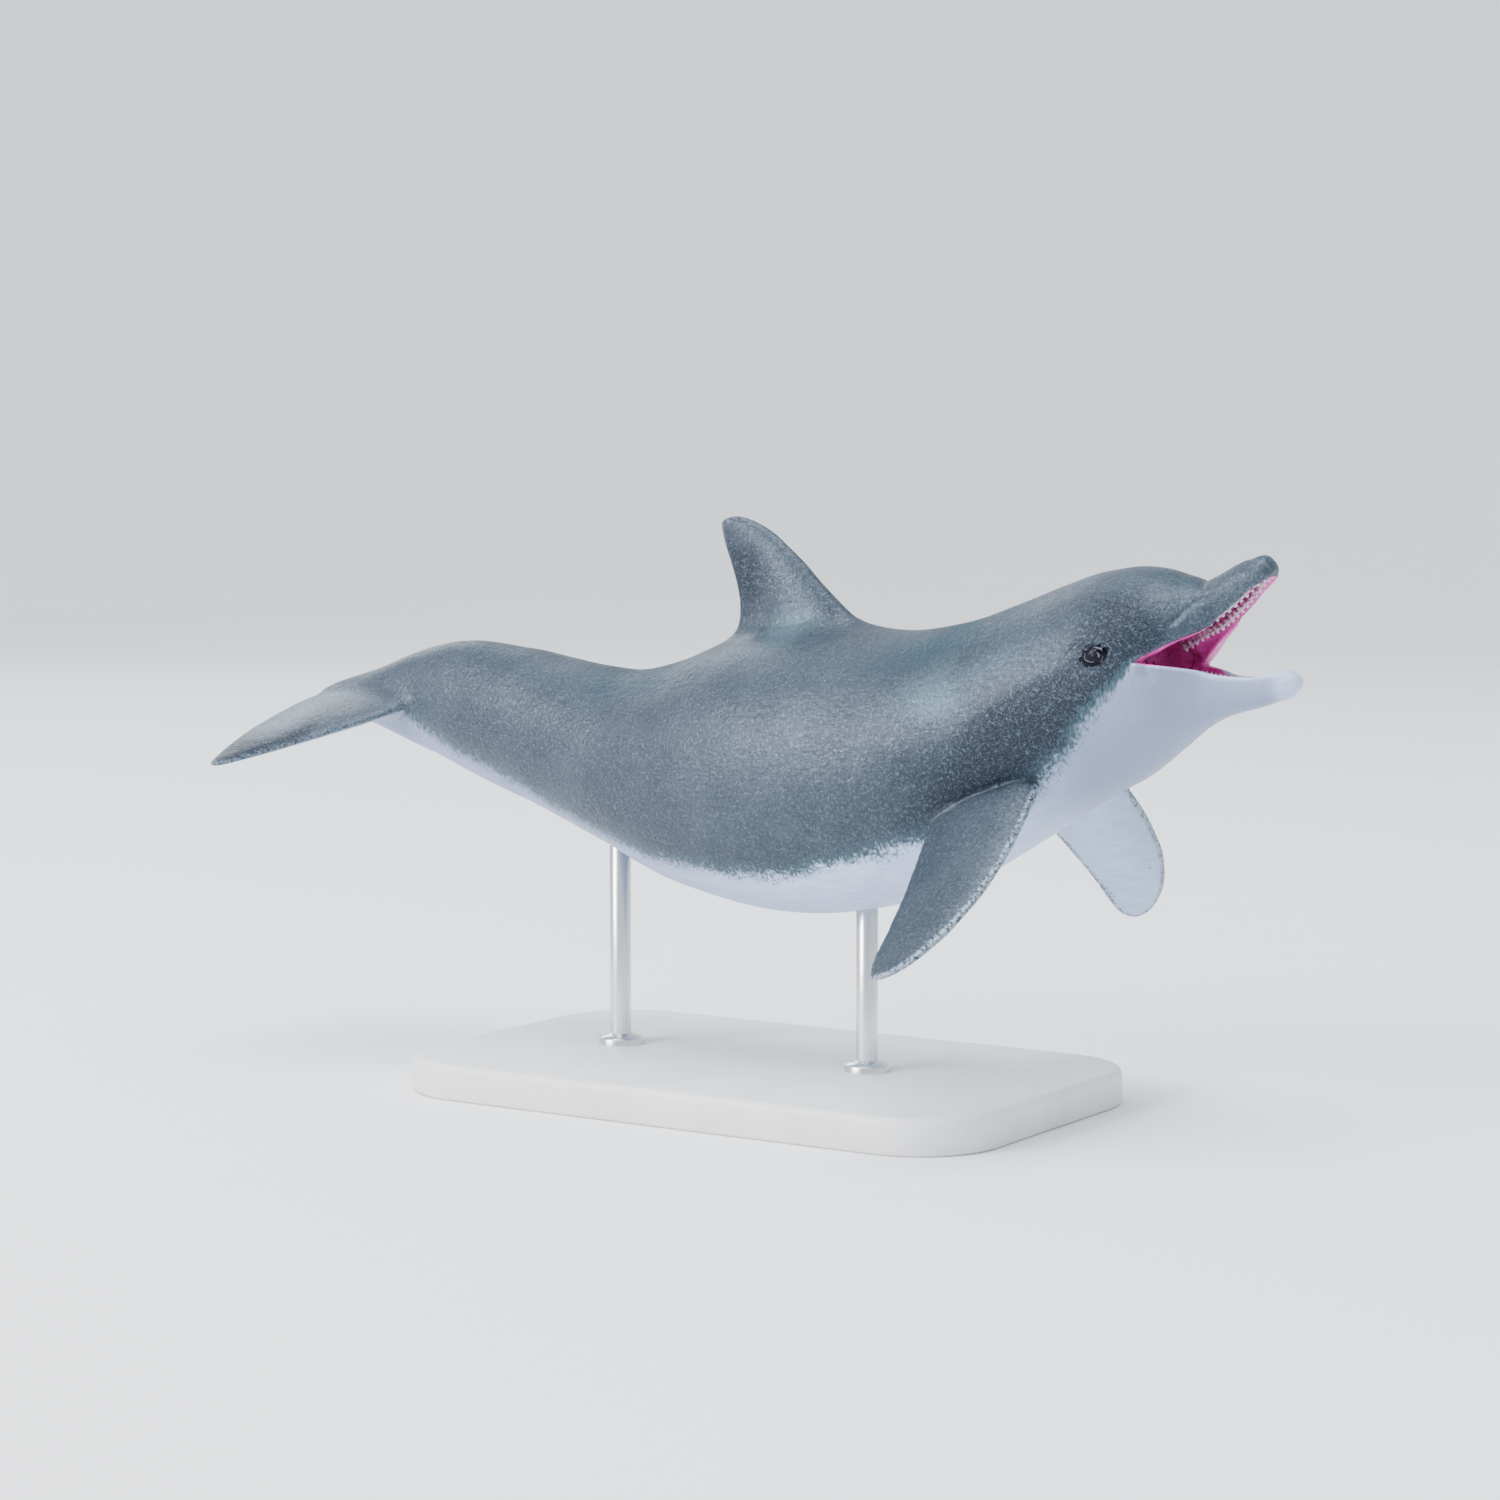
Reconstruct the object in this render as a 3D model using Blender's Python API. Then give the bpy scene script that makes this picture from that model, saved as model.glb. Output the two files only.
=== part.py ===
"""Bottlenose dolphin, a moulded and painted plastic figure, on a plain display stand.

The figure is a leaping animal with an open mouth.  It is lofted along its spine, the fins,
flukes and jaws are lofted by themselves, and thin gaps part the pieces that a person would
name.  Everything is built in millimetres, head towards +X, left side towards +Y, and each
mesh is turned to metres when it is made.
"""
import math

import bpy
import bmesh
import numpy as np

# ------------------------------------------------------------------ driving sizes, mm
MM = 0.001                      # millimetres to metres
GAP = 0.3                       # air between two pieces that meet
LIFT = 48.0                     # height of the figure's own origin above the table
SHIFT = -2.32                   # sets the middle of the whole length over the stand

BASE_LENGTH, BASE_WIDTH, BASE_HEIGHT = 92.0, 56.0, 5.0
BASE_CORNER, BASE_BEVEL = 12.0, 1.0
ROD_RADIUS = 1.5
ROD_X = {"stand_rod_front": 19.0, "stand_rod_rear": -22.0}
ROD_SEAT = 3.0                  # how deep a rod sits in the base
ROD_SOCKET = 5.0                # how deep a rod goes into the belly

# Stations of the body from the tail to the front of the forehead:
# x, height of the middle line, half height above it, half height below it, half width.
BODY = [
    (-72.0, 4.6, 1.6, 1.8, 1.8),
    (-65.0, 4.9, 4.6, 4.4, 3.2),
    (-58.0, 4.8, 7.1, 6.6, 4.1),
    (-50.0, 4.4, 9.3, 8.7, 5.7),
    (-40.0, 2.5, 10.7, 10.1, 7.7),
    (-30.0, 0.1, 11.5, 10.9, 9.5),
    (-20.0, -2.3, 13.1, 12.3, 11.5),
    (-10.0, -3.4, 15.9, 15.6, 13.9),
    (0.0, -3.1, 18.3, 18.3, 16.0),
    (10.0, -2.4, 19.3, 19.5, 17.0),
    (20.0, -1.4, 18.9, 18.9, 17.0),
    (30.0, 0.7, 17.3, 17.4, 16.2),
    (40.0, 4.3, 15.4, 15.2, 15.0),
    (49.0, 8.4, 14.3, 13.7, 13.8),
    (56.0, 11.8, 13.7, 13.2, 12.6),
    (62.0, 15.0, 12.6, 10.9, 11.2),
    (66.5, 17.6, 10.4, 7.0, 8.6),
    (69.6, 19.4, 7.4, 4.4, 5.8),
    (71.6, 20.6, 4.4, 2.2, 3.8),
    (72.6, 21.2, 1.0, 0.8, 1.0),
]
# Where the body is parted, as x on the middle line.
TAIL_CUT, LOIN_CUT, MIDDLE_CUT, NECK_CUT = -36.0, -9.0, 29.0, 54.0

# Stations of the two jaws, in the same five sizes, from inside the head to the tip.
UPPER_JAW = [
    (64.8, 17.4, 6.0, 2.0, 7.6),
    (68.8, 20.5, 4.7, 3.2, 5.1),
    (70.9, 21.8, 3.6, 3.0, 4.1),
    (73.0, 23.3, 3.1, 2.6, 3.4),
    (75.0, 24.8, 2.8, 2.2, 2.9),
    (76.6, 25.9, 2.4, 1.8, 2.5),
    (77.6, 26.8, 1.8, 1.3, 1.9),
    (78.3, 27.2, 0.6, 0.5, 0.8),
]
LOWER_JAW = [
    (60.0, 9.8, 4.5, 7.4, 9.4),
    (64.0, 10.6, 3.8, 6.4, 8.8),
    (68.0, 11.4, 2.8, 5.6, 6.3),
    (71.0, 11.8, 2.0, 4.7, 4.7),
    (74.0, 11.9, 1.7, 3.7, 3.6),
    (77.0, 12.0, 1.6, 2.9, 3.0),
    (80.0, 12.3, 1.8, 2.2, 2.6),
    (81.5, 12.4, 1.5, 1.9, 1.9),
    (82.4, 12.4, 0.6, 0.6, 0.9),
]
MOUTH_CORNER = (64.0, 14.2)     # x and height of the corner of the mouth
GAPE_TURN = 38.0                # the roof of the mouth rises this much, degrees
UPPER_LIP = [
    (67.6, 16.8), (69.3, 17.7), (70.5, 18.4), (72.4, 20.0),
    (75.2, 22.6), (77.3, 24.8), (86.0, 31.6),
]
LOWER_LIP = [(68.7, 13.7), (75.0, 13.0), (78.0, 13.1), (80.2, 13.9), (86.0, 14.8)]
BEAK_ROOT = 72.2                # x on the upper lip where the beak leaves the forehead
CHIN_ROOT = 66.5                # x where the lower jaw leaves the head
HEAD_ROLL = 3.5                 # the head is rolled to its left, degrees
ROLL_START, ROLL_END = 51.0, 66.0   # x between which the roll comes in

# Outlines of the fins, as Bezier control points.
DORSAL_FRONT = [
    (25.0, 15.5), (17.5, 16.6), (12.4, 20.6), (7.4, 30.0),
    (2.2, 33.2), (-3.9, 33.2), (-4.7, 31.3),
]
DORSAL_BACK = [
    (-6.0, 12.5), (0.0, 16.0), (-0.9, 20.0), (-2.0, 24.0),
    (-3.6, 27.0), (-4.6, 29.2), (-4.7, 31.3),
]
# Flippers: forward and outward from the root, in the plane of the flipper.
FLIPPER_ROOT = (43.0, 11.0, -3.4)
FLIPPER_DROOP, FLIPPER_PITCH = 40.0, 12.0
FLIPPER_FRONT = [
    (8.0, -4.0), (8.6, 4.0), (10.2, 14.0), (9.6, 21.0),
    (5.2, 29.0), (1.5, 32.0), (-1.5, 31.8),
]
FLIPPER_BACK = [
    (-6.6, -4.0), (-6.6, 6.0), (-5.0, 14.0), (-2.2, 21.0),
    (-4.4, 27.0), (-4.2, 31.0), (-1.5, 31.8),
]
# Flukes: the same, from the tail's middle line.
FLUKE_ROOT = (-70.0, 0.0, 5.1)
FLUKE_SIDE_LOW, FLUKE_SIDE_HIGH = (-90.0, -10.0), (-50.0, 20.0)  # x and height: all that is cut away
FLUKE_REACH_OVER = 8.0          # how far a fluke's root reaches over the middle plane before the cut
FLUKE_DROOP, FLUKE_PITCH, FLUKE_BEND = 13.6, 0.0, 0.005
FLUKE_FRONT = [
    (13.5, -1.0), (13.4, 5.0), (12.0, 12.0), (4.0, 17.5),
    (-1.0, 23.0), (-5.0, 25.4), (-7.0, 25.2),
]
FLUKE_BACK = [
    (-5.8, -1.0), (-6.8, 3.0), (-6.2, 9.0), (-7.6, 14.0),
    (-8.2, 21.0), (-8.0, 24.4), (-7.0, 25.2),
]

# Hollows of the mouth as cutters, in the same five sizes as the jaws.
PALATE = [
    (60.0, 12.5, 3.0, 2.0, 5.0),
    (66.0, 15.8, 2.4, 1.6, 6.2),
    (70.0, 18.9, 1.8, 1.4, 4.0),
    (74.0, 22.0, 1.4, 1.2, 2.6),
    (77.0, 24.4, 0.9, 0.8, 1.6),
    (77.9, 25.1, 0.3, 0.3, 0.5),
]
TROUGH = [
    (60.0, 14.0, 2.0, 2.5, 5.0),
    (66.0, 14.0, 1.0, 2.6, 6.2),
    (70.0, 13.6, 0.8, 2.1, 4.0),
    (75.0, 13.1, 0.8, 1.5, 2.4),
    (78.6, 13.2, 0.6, 0.9, 1.6),
    (79.6, 13.4, 0.2, 0.2, 0.4),
]
TONGUE = [
    (63.0, 12.5, 0.6, 0.5, 2.6),
    (66.0, 12.4, 0.7, 0.5, 2.8),
    (70.0, 12.2, 0.6, 0.3, 2.3),
    (74.0, 12.3, 0.4, 0.2, 1.5),
    (76.0, 12.4, 0.2, 0.1, 0.7),
]
THROAT_CENTRE, THROAT_SIZE = (62.5, 0.0, 14.6), (5.5, 7.6, 2.6)

EYE_PLACE = (59.2, 15.2)        # x and height of the eye
EYE_SIZE = (1.9, 1.0, 1.35)     # half sizes: along, out of and up the head

TOOTH_PITCH, TOOTH_NOTCH = 0.85, 0.65   # one tooth's length and the depth between two
TOOTH_BASE, TOOTH_TIP = 0.65, 0.22      # thickness across the row
TOOTH_PROUD = {True: 0.25, False: -0.10}  # above the lip: upper row, lower row


# ------------------------------------------------------------------ curves and grids
def smooth_track(keys, rows, at):
    """Smooth curve through rows of values, one row per key, read at the places given."""
    keys, rows = np.asarray(keys, float), np.asarray(rows, float)
    step = np.diff(keys)
    slope = np.diff(rows, axis=0) / step[:, None]
    tangent = np.vstack([slope[:1], slope[:1].repeat(len(keys) - 2, 0), slope[-1:]])
    tangent[1:-1] = (slope[:-1] * step[1:, None] + slope[1:] * step[:-1, None]) \
        / (step[1:] + step[:-1])[:, None]
    i = np.clip(np.searchsorted(keys, at, side="right") - 1, 0, len(keys) - 2)
    s, h = ((at - keys[i]) / step[i])[:, None], step[i][:, None]
    return ((2 * s**3 - 3 * s**2 + 1) * rows[i] + (s**3 - 2 * s**2 + s) * h * tangent[i]
            + (3 * s**2 - 2 * s**3) * rows[i + 1] + (s**3 - s**2) * h * tangent[i + 1])


def bezier(points, at):
    """Bezier curve of any degree, by de Casteljau's halving."""
    level = [np.tile(np.asarray(p, float), (len(at), 1)) for p in points]
    t = np.asarray(at, float)[:, None]
    while len(level) > 1:
        level = [(1 - t) * a + t * b for a, b in zip(level[:-1], level[1:])]
    return level[0]


def path_keys(stations):
    """Distance along the middle line of a row of stations."""
    middle = np.asarray(stations, float)[:, :2]
    return np.concatenate([[0.0], np.cumsum(np.hypot(*np.diff(middle, axis=0).T))])


def loft(stations, rings, around, start=None, end=None, grow=0.0, corner=(2.0, 2.0)):
    """Rings across a bent body, from one x to another, as an array rings x around x 3."""
    keys = path_keys(stations)
    dense = np.linspace(keys[0], keys[-1], 800)
    xs = smooth_track(keys, stations, dense)[:, 0]
    first = keys[0] if start is None else np.interp(start, xs, dense)
    last = keys[-1] if end is None else np.interp(end, xs, dense)
    at = np.linspace(first, last, rings)
    rows = smooth_track(keys, stations, at)
    ahead = smooth_track(keys, stations, np.minimum(at + 0.05, keys[-1]))
    behind = smooth_track(keys, stations, np.maximum(at - 0.05, keys[0]))
    along = (ahead - behind)[:, :2]
    along /= np.linalg.norm(along, axis=1)[:, None]

    turn = np.linspace(0.0, 2 * math.pi, around, endpoint=False)
    across, up = np.cos(turn), np.sin(turn)
    power = np.where(up > 0, corner[0], corner[1])
    reach = (np.abs(across)**power + np.abs(up)**power) ** (-1 / power)
    across, up = across * reach, up * reach
    side = -(rows[:, 4:5] + grow) * across
    height = np.where(up > 0, rows[:, 2:3] + grow, rows[:, 3:4] + grow) * up
    grid = np.empty((rings, around, 3))
    grid[..., 0] = rows[:, 0:1] - along[:, 1:2] * height
    grid[..., 1] = side
    grid[..., 2] = rows[:, 1:2] + along[:, 0:1] * height
    return grid


def blade(front, back, thickness, sections, around, root_swell=0.0):
    """Aerofoil sections between a front and a back edge, closed to a point at the tip."""
    t = 1 - (1 - np.linspace(0.0, 1.0, sections)) ** 1.6
    lead, trail = front(t), back(t)
    span = np.gradient((lead + trail) / 2, axis=0)
    normal = np.cross(lead - trail, span)
    normal /= np.linalg.norm(normal, axis=1)[:, None] + 1e-9
    turn = np.linspace(0.0, 2 * math.pi, around, endpoint=False)
    chord = 0.5 * (1 - np.cos(turn))
    aerofoil = 5 * (0.2969 * np.sqrt(chord) - 0.1260 * chord - 0.3516 * chord**2
                    + 0.2843 * chord**3 - 0.1036 * chord**4) * np.sign(np.sin(turn))
    profile = 0.6 * aerofoil + 0.2 * np.sin(turn)
    thick = thickness * (1 - t) ** 0.8 + 1.0 * np.sqrt(1 - t) + root_swell * np.exp(-t * 12)
    return (lead[:, None] * (1 - chord)[None, :, None] + trail[:, None] * chord[None, :, None]
            + normal[:, None] * (thick[:, None] * profile[None])[..., None])


# ------------------------------------------------------------------ meshes
def painted(name, colour, roughness, metallic=0.0):
    """A plain painted surface."""
    material = bpy.data.materials.new(name)
    material.use_nodes = True
    shader = material.node_tree.nodes["Principled BSDF"]
    shader.inputs["Base Color"].default_value = (*colour, 1.0)
    shader.inputs["Roughness"].default_value = roughness
    shader.inputs["Metallic"].default_value = metallic
    return material


def roll_head(point):
    """Turns a point about the head's middle line by its share of the head's roll."""
    share = min(1.0, max(0.0, (point.x - ROLL_START) / (ROLL_END - ROLL_START)))
    turn = math.radians(HEAD_ROLL) * share * share * (3 - 2 * share)
    height = point.z - MOUTH_CORNER[1]
    point.y, height = (point.y * math.cos(turn) + height * math.sin(turn),
                       height * math.cos(turn) - point.y * math.sin(turn))
    point.z = height + MOUTH_CORNER[1]


def add_object(name, mesh_data, material, cutter=False):
    """Closes a bmesh into an object, normals outwards, in metres."""
    bmesh.ops.remove_doubles(mesh_data, verts=mesh_data.verts, dist=0.01)
    bmesh.ops.recalc_face_normals(mesh_data, faces=mesh_data.faces)
    for vertex in mesh_data.verts:
        roll_head(vertex.co)
        vertex.co.x = (vertex.co.x + SHIFT) * MM
        vertex.co.y *= MM
        vertex.co.z = (vertex.co.z + LIFT) * MM
    for face in mesh_data.faces:
        face.smooth = True
    mesh = bpy.data.meshes.new(name)
    mesh_data.to_mesh(mesh)
    mesh_data.free()
    mesh.materials.append(material)
    obj = bpy.data.objects.new(name, mesh)
    bpy.context.scene.collection.objects.link(obj)
    if cutter:
        obj.hide_render = True
        obj.display_type = "WIRE"
    return obj


def skin_grid(mesh_data, grid, mirror=False):
    """Faces between the rings of a grid, with a cap on each end."""
    grid = grid * np.array([1.0, -1.0, 1.0]) if mirror else grid
    rings = [[mesh_data.verts.new(p) for p in ring] for ring in grid]
    count = len(rings[0])
    for low, high in zip(rings[:-1], rings[1:]):
        for i in range(count):
            j = (i + 1) % count
            mesh_data.faces.new((low[i], low[j], high[j], high[i]))
    mesh_data.faces.new(rings[0][::-1])
    mesh_data.faces.new(rings[-1])


def grid_object(name, grid, material, mirror=False, cutter=False):
    mesh_data = bmesh.new()
    skin_grid(mesh_data, grid, mirror)
    return add_object(name, mesh_data, material, cutter)


def cut(obj, *cutters, operation="DIFFERENCE"):
    """Adds an exact Boolean for each cutter."""
    for cutter in cutters:
        modifier = obj.modifiers.new(cutter.name, "BOOLEAN")
        modifier.operation = operation
        modifier.solver = "EXACT"
        modifier.object = cutter
    return obj


# ------------------------------------------------------------------ the figure's forms
def in_plane(points, at, root, droop, pitch, bend=0.0):
    """Turns a flat outline (forward, outward) into place on the left side of the body."""
    forward, outward = bezier(points, at).T
    tilt, nose = math.radians(droop), math.radians(pitch)
    out = np.stack([np.zeros_like(outward), np.cos(tilt) * outward,
                    -np.sin(tilt) * outward - bend * outward * np.abs(outward)], axis=1)
    ahead = np.outer(forward, (math.cos(nose), 0.0, math.sin(nose)))
    return np.array(root) + out + ahead


def dorsal_grid():
    def upright(points):
        return lambda t: np.insert(bezier(points, t), 1, 0.0, axis=1)
    return blade(upright(DORSAL_FRONT), upright(DORSAL_BACK), 4.4, 12, 18, root_swell=3.0)


def flipper_grid():
    place = (FLIPPER_ROOT, FLIPPER_DROOP, FLIPPER_PITCH)
    return blade(lambda t: in_plane(FLIPPER_FRONT, t, *place),
                 lambda t: in_plane(FLIPPER_BACK, t, *place), 2.6, 12, 18, root_swell=1.6)


def fluke_grid():
    place = (FLUKE_ROOT, FLUKE_DROOP, FLUKE_PITCH, FLUKE_BEND)
    return blade(lambda t: in_plane(FLUKE_FRONT, t, *place),
                 lambda t: in_plane(FLUKE_BACK, t, *place), 2.4, 12, 18, root_swell=1.6)


def lip_point(x, upper):
    """Height of a lip line at x."""
    return float(np.interp(x, *zip(MOUTH_CORNER, *(UPPER_LIP if upper else LOWER_LIP))))


def prism(name, outline, half_width, material):
    """A side outline (x, height) drawn out across the middle plane, as a cutter."""
    mesh_data = bmesh.new()
    near, far = [[mesh_data.verts.new((x, y, z)) for x, z in outline]
                 for y in (-half_width, half_width)]
    mesh_data.faces.new(near)
    mesh_data.faces.new(far[::-1])
    for i in range(len(outline)):
        j = (i + 1) % len(outline)
        mesh_data.faces.new((near[i], far[i], far[j], near[j]))
    return add_object(name, mesh_data, material, cutter=True)


def gape_outline():
    """The air between the jaws, seen from the side."""
    return [MOUTH_CORNER, *LOWER_LIP, *UPPER_LIP[::-1]]


def beak_root(x_shift, front):
    """The space in front of, or behind, the square cut at the root of the beak."""
    turn = math.radians(GAPE_TURN)
    along = np.array([math.cos(turn), math.sin(turn)])
    up = np.array([-math.sin(turn), math.cos(turn)])
    foot = np.array([BEAK_ROOT, lip_point(BEAK_ROOT, True)]) + along * x_shift - up * 3.0
    reach = along * (24.0 if front else -24.0)
    corners = [foot, foot + reach, foot + reach + up * 24.0, foot + up * 24.0]
    return [tuple(corner) for corner in corners]


def cylinder(name, x, low, high, radius, material, cutter=False, around=20):
    """An upright round bar on the middle line, from one height to another."""
    turn = np.linspace(0.0, 2 * math.pi, around, endpoint=False)
    ring = np.stack([x + radius * np.cos(turn), radius * np.sin(turn), np.zeros(around)], axis=1)
    grid = np.stack([ring + np.array([0.0, 0.0, z]) for z in (low, high)])
    return grid_object(name, grid, material, cutter=cutter)


def block(name, low, high, material):
    """A box between two corners, as a cutter."""
    mesh_data = bmesh.new()
    bmesh.ops.create_cube(mesh_data, size=1.0)
    for vertex in mesh_data.verts:
        for k in range(3):
            vertex.co[k] = (low[k] + high[k]) / 2 + vertex.co[k] * (high[k] - low[k])
    return add_object(name, mesh_data, material, cutter=True)


def tooth_row(name, hollow, start, end, upper, side, material):
    """A saw-toothed ridge along the rim of a jaw's hollow, its foot sunk into the rim."""
    keys = path_keys(hollow)
    dense = np.linspace(keys[0], keys[-1], 400)
    track = smooth_track(keys, hollow, dense)
    count = max(2, round((end - start) / TOOTH_PITCH))
    xs = np.linspace(start, end, 2 * count + 1)
    turn = math.radians(GAPE_TURN if upper else 0.0)
    out_of_jaw = np.array([math.sin(turn), 0.0, -math.cos(turn)]) * (1 if upper else -1)
    across = np.array([0.0, 1.0, 0.0])
    rings = []
    for k, x in enumerate(xs):
        rim = np.interp(x, track[:, 0], track[:, 4]) + 0.05
        foot = np.array([x, side * rim, lip_point(x, upper)])
        peak = k % 2 == 1
        height = TOOTH_PROUD[upper] - (0.0 if peak else TOOTH_NOTCH)
        half_foot, half_tip = TOOTH_BASE / 2, (TOOTH_TIP if peak else TOOTH_BASE) / 2
        rings.append([foot - out_of_jaw * 1.3 - across * half_foot,
                      foot + out_of_jaw * height - across * half_tip,
                      foot + out_of_jaw * height + across * half_tip,
                      foot - out_of_jaw * 1.3 + across * half_foot])
    return grid_object(name, np.array(rings), material, cutter=True)


def ellipsoid(name, centre, half_sizes, material, cutter=False, grow=0.0, detail=(14, 8)):
    mesh_data = bmesh.new()
    bmesh.ops.create_uvsphere(mesh_data, u_segments=detail[0], v_segments=detail[1], radius=1.0)
    for vertex in mesh_data.verts:
        for k in range(3):
            vertex.co[k] = vertex.co[k] * (half_sizes[k] + grow) + centre[k]
    return add_object(name, mesh_data, material, cutter)


def body_side(x, z):
    """Half width of the body where it passes through x and z."""
    grid = loft(BODY, 240, 96)
    side = grid[:, :, 1]
    left = side > 0
    distance = np.hypot(grid[..., 0] - x, grid[..., 2] - z)
    distance[~left] = 1e9
    near = np.unravel_index(np.argmin(distance), distance.shape)
    return float(side[near])


# ------------------------------------------------------------------ clear the scene
for old in list(bpy.data.objects):
    bpy.data.objects.remove(old, do_unlink=True)

GREY = painted("back_paint", (0.085, 0.115, 0.135), 0.42, 0.25)
WHITE = painted("belly_paint", (0.80, 0.80, 0.84), 0.45)
MAGENTA = painted("mouth_paint", (0.38, 0.015, 0.16), 0.40)
BLACK = painted("eye_paint", (0.006, 0.006, 0.008), 0.12)
STAND = painted("stand_paint", (0.78, 0.77, 0.75), 0.50)
STEEL = painted("rod_steel", (0.62, 0.63, 0.64), 0.28, 1.0)

# ------------------------------------------------------------------ trunk and head
half_gap = GAP / 2
body_cutter = grid_object("body_cutter", loft(BODY, 60, 32, grow=GAP), GREY, cutter=True)
grid_object("tail_stock", loft(BODY, 11, 28, end=TAIL_CUT - half_gap), GREY)
loin = grid_object("trunk_rear", loft(BODY, 8, 32, TAIL_CUT + half_gap, LOIN_CUT - half_gap), GREY)
middle = grid_object("trunk_middle", loft(BODY, 9, 32, LOIN_CUT + half_gap, MIDDLE_CUT - half_gap), GREY)
grid_object("chest", loft(BODY, 8, 32, MIDDLE_CUT + half_gap, NECK_CUT - half_gap), GREY)
head = grid_object("head", loft(BODY, 12, 32, start=NECK_CUT + half_gap), GREY)

# ------------------------------------------------------------------ jaws and mouth
gape = prism("gape_cutter", gape_outline(), 16.0, MAGENTA)
palate = grid_object("palate_cutter", loft(PALATE, 9, 14), MAGENTA, cutter=True)
trough = grid_object("trough_cutter", loft(TROUGH, 9, 14), MAGENTA, cutter=True)
throat = ellipsoid("throat_cutter", THROAT_CENTRE, THROAT_SIZE, MAGENTA, cutter=True)
beak_front = prism("beak_front_cutter", beak_root(0.0, True), 16.0, GREY)
beak_back = prism("beak_back_cutter", beak_root(GAP, False), 16.0, GREY)
x0, x1, low, high = CHIN_ROOT, CHIN_ROOT + 24.0, -12.0, MOUTH_CORNER[1] + 0.4
chin_front = prism("chin_front_cutter", [(x0, low), (x1, low), (x1, high), (x0, high)], 16.0, GREY)
x0, x1 = CHIN_ROOT + GAP, CHIN_ROOT - 24.0
chin_back = prism("chin_back_cutter", [(x0, low), (x1, low), (x1, high + 9), (x0, high + 9)], 16.0, GREY)

upper_jaw = grid_object("upper_jaw", loft(UPPER_JAW, 12, 20, corner=(2.1, 3.2)), GREY)
lower_jaw = grid_object("lower_jaw", loft(LOWER_JAW, 12, 20, corner=(3.0, 2.1)), WHITE)
cut(head, gape, throat, palate, trough, beak_front, chin_front)
cut(upper_jaw, gape, palate, beak_back)
cut(lower_jaw, gape, trough, chin_back)

grid_object("tongue", loft(TONGUE, 8, 14), MAGENTA)

for side, sign in (("left", 1), ("right", -1)):
    rows = [
        (upper_jaw, f"front_upper_teeth_{side}", PALATE, 72.7, 77.2, True),
        (head, f"back_upper_teeth_{side}", PALATE, 67.0, 71.9, True),
        (lower_jaw, f"front_lower_teeth_{side}", TROUGH, 67.2, 78.8, False),
    ]
    for jaw, name, hollow, start, end, upper in rows:
        row = tooth_row(name, hollow, start, end, upper, sign, WHITE)
        cut(jaw, row, operation="UNION")

# ------------------------------------------------------------------ fins
dorsal = grid_object("dorsal_fin", dorsal_grid(), GREY)
cut(dorsal, body_cutter)
for side, sign in (("left", 1), ("right", -1)):
    flipper = grid_object(f"flipper_{side}", flipper_grid(), GREY, mirror=sign < 0)
    cut(flipper, body_cutter)
    near, far = sorted((-FLUKE_REACH_OVER * sign, half_gap * sign))
    (rear, low), (front, high) = FLUKE_SIDE_LOW, FLUKE_SIDE_HIGH
    other_side = block(f"other_side_of_{side}", (rear, near, low), (front, far, high), GREY)
    fluke = grid_object(f"fluke_{side}", fluke_grid(), GREY, mirror=sign < 0)
    cut(fluke, body_cutter, other_side)

# ------------------------------------------------------------------ eyes
eye_x, eye_z = EYE_PLACE
eye_y = body_side(eye_x, eye_z) - 0.35
for side, sign in (("left", 1.0), ("right", -1.0)):
    centre = (eye_x, sign * eye_y, eye_z)
    socket = ellipsoid(f"eye_socket_{side}", centre, EYE_SIZE, GREY, cutter=True, grow=GAP)
    cut(head, socket)
    ellipsoid(f"eye_{side}", centre, EYE_SIZE, BLACK)

# ------------------------------------------------------------------ stand
def base_rings():
    """Rounded plate, its upper edge rounded over."""
    corner_turn = np.linspace(0.0, math.pi / 2, 6)
    levels = [(0.0, 0.0), (0.0, BASE_HEIGHT - BASE_BEVEL)]
    levels += [(BASE_BEVEL * (1 - math.cos(a)), BASE_HEIGHT - BASE_BEVEL * (1 - math.sin(a)))
               for a in (math.pi / 4, math.pi / 2)]
    rings = []
    for inset, z in levels:
        ring = []
        for quarter in range(4):
            sx, sy = ((1, 1), (-1, 1), (-1, -1), (1, -1))[quarter]
            centre = (sx * (BASE_LENGTH / 2 - BASE_CORNER), sy * (BASE_WIDTH / 2 - BASE_CORNER))
            for a in corner_turn + quarter * math.pi / 2:
                radius = BASE_CORNER - inset
                ring.append((centre[0] + radius * math.cos(a) - SHIFT,
                             centre[1] + radius * math.sin(a), z - LIFT))
        rings.append(ring)
    return np.array(rings)


stand_base = grid_object("stand_base", base_rings(), STAND)
carried = {"stand_rod_front": middle, "stand_rod_rear": loin}
for name, x in ROD_X.items():
    belly = loft(BODY, 200, 4)[:, 3]
    belly_height = float(np.interp(x, belly[:, 0], belly[:, 2]))
    foot, top = BASE_HEIGHT - ROD_SEAT - LIFT, belly_height + ROD_SOCKET
    cylinder(name, x, foot + GAP, top, ROD_RADIUS, STEEL)
    hole = cylinder(f"{name}_hole", x, foot, top + GAP, ROD_RADIUS + GAP, STEEL, cutter=True)
    cut(stand_base, hole)
    cut(carried[name], hole)
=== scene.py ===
# %% [markdown]
# # A painted plastic dolphin on its stand
# The part is a moulded plastic dolphin, about 160 mm long, painted by hand, on a plain stand.
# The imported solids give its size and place.  This lesson dresses them: one skin goes over all
# the pieces of flesh, and the teeth, the eyes and the stand get meshes and finishes of their own.

# %% Load the solids
import math

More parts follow.
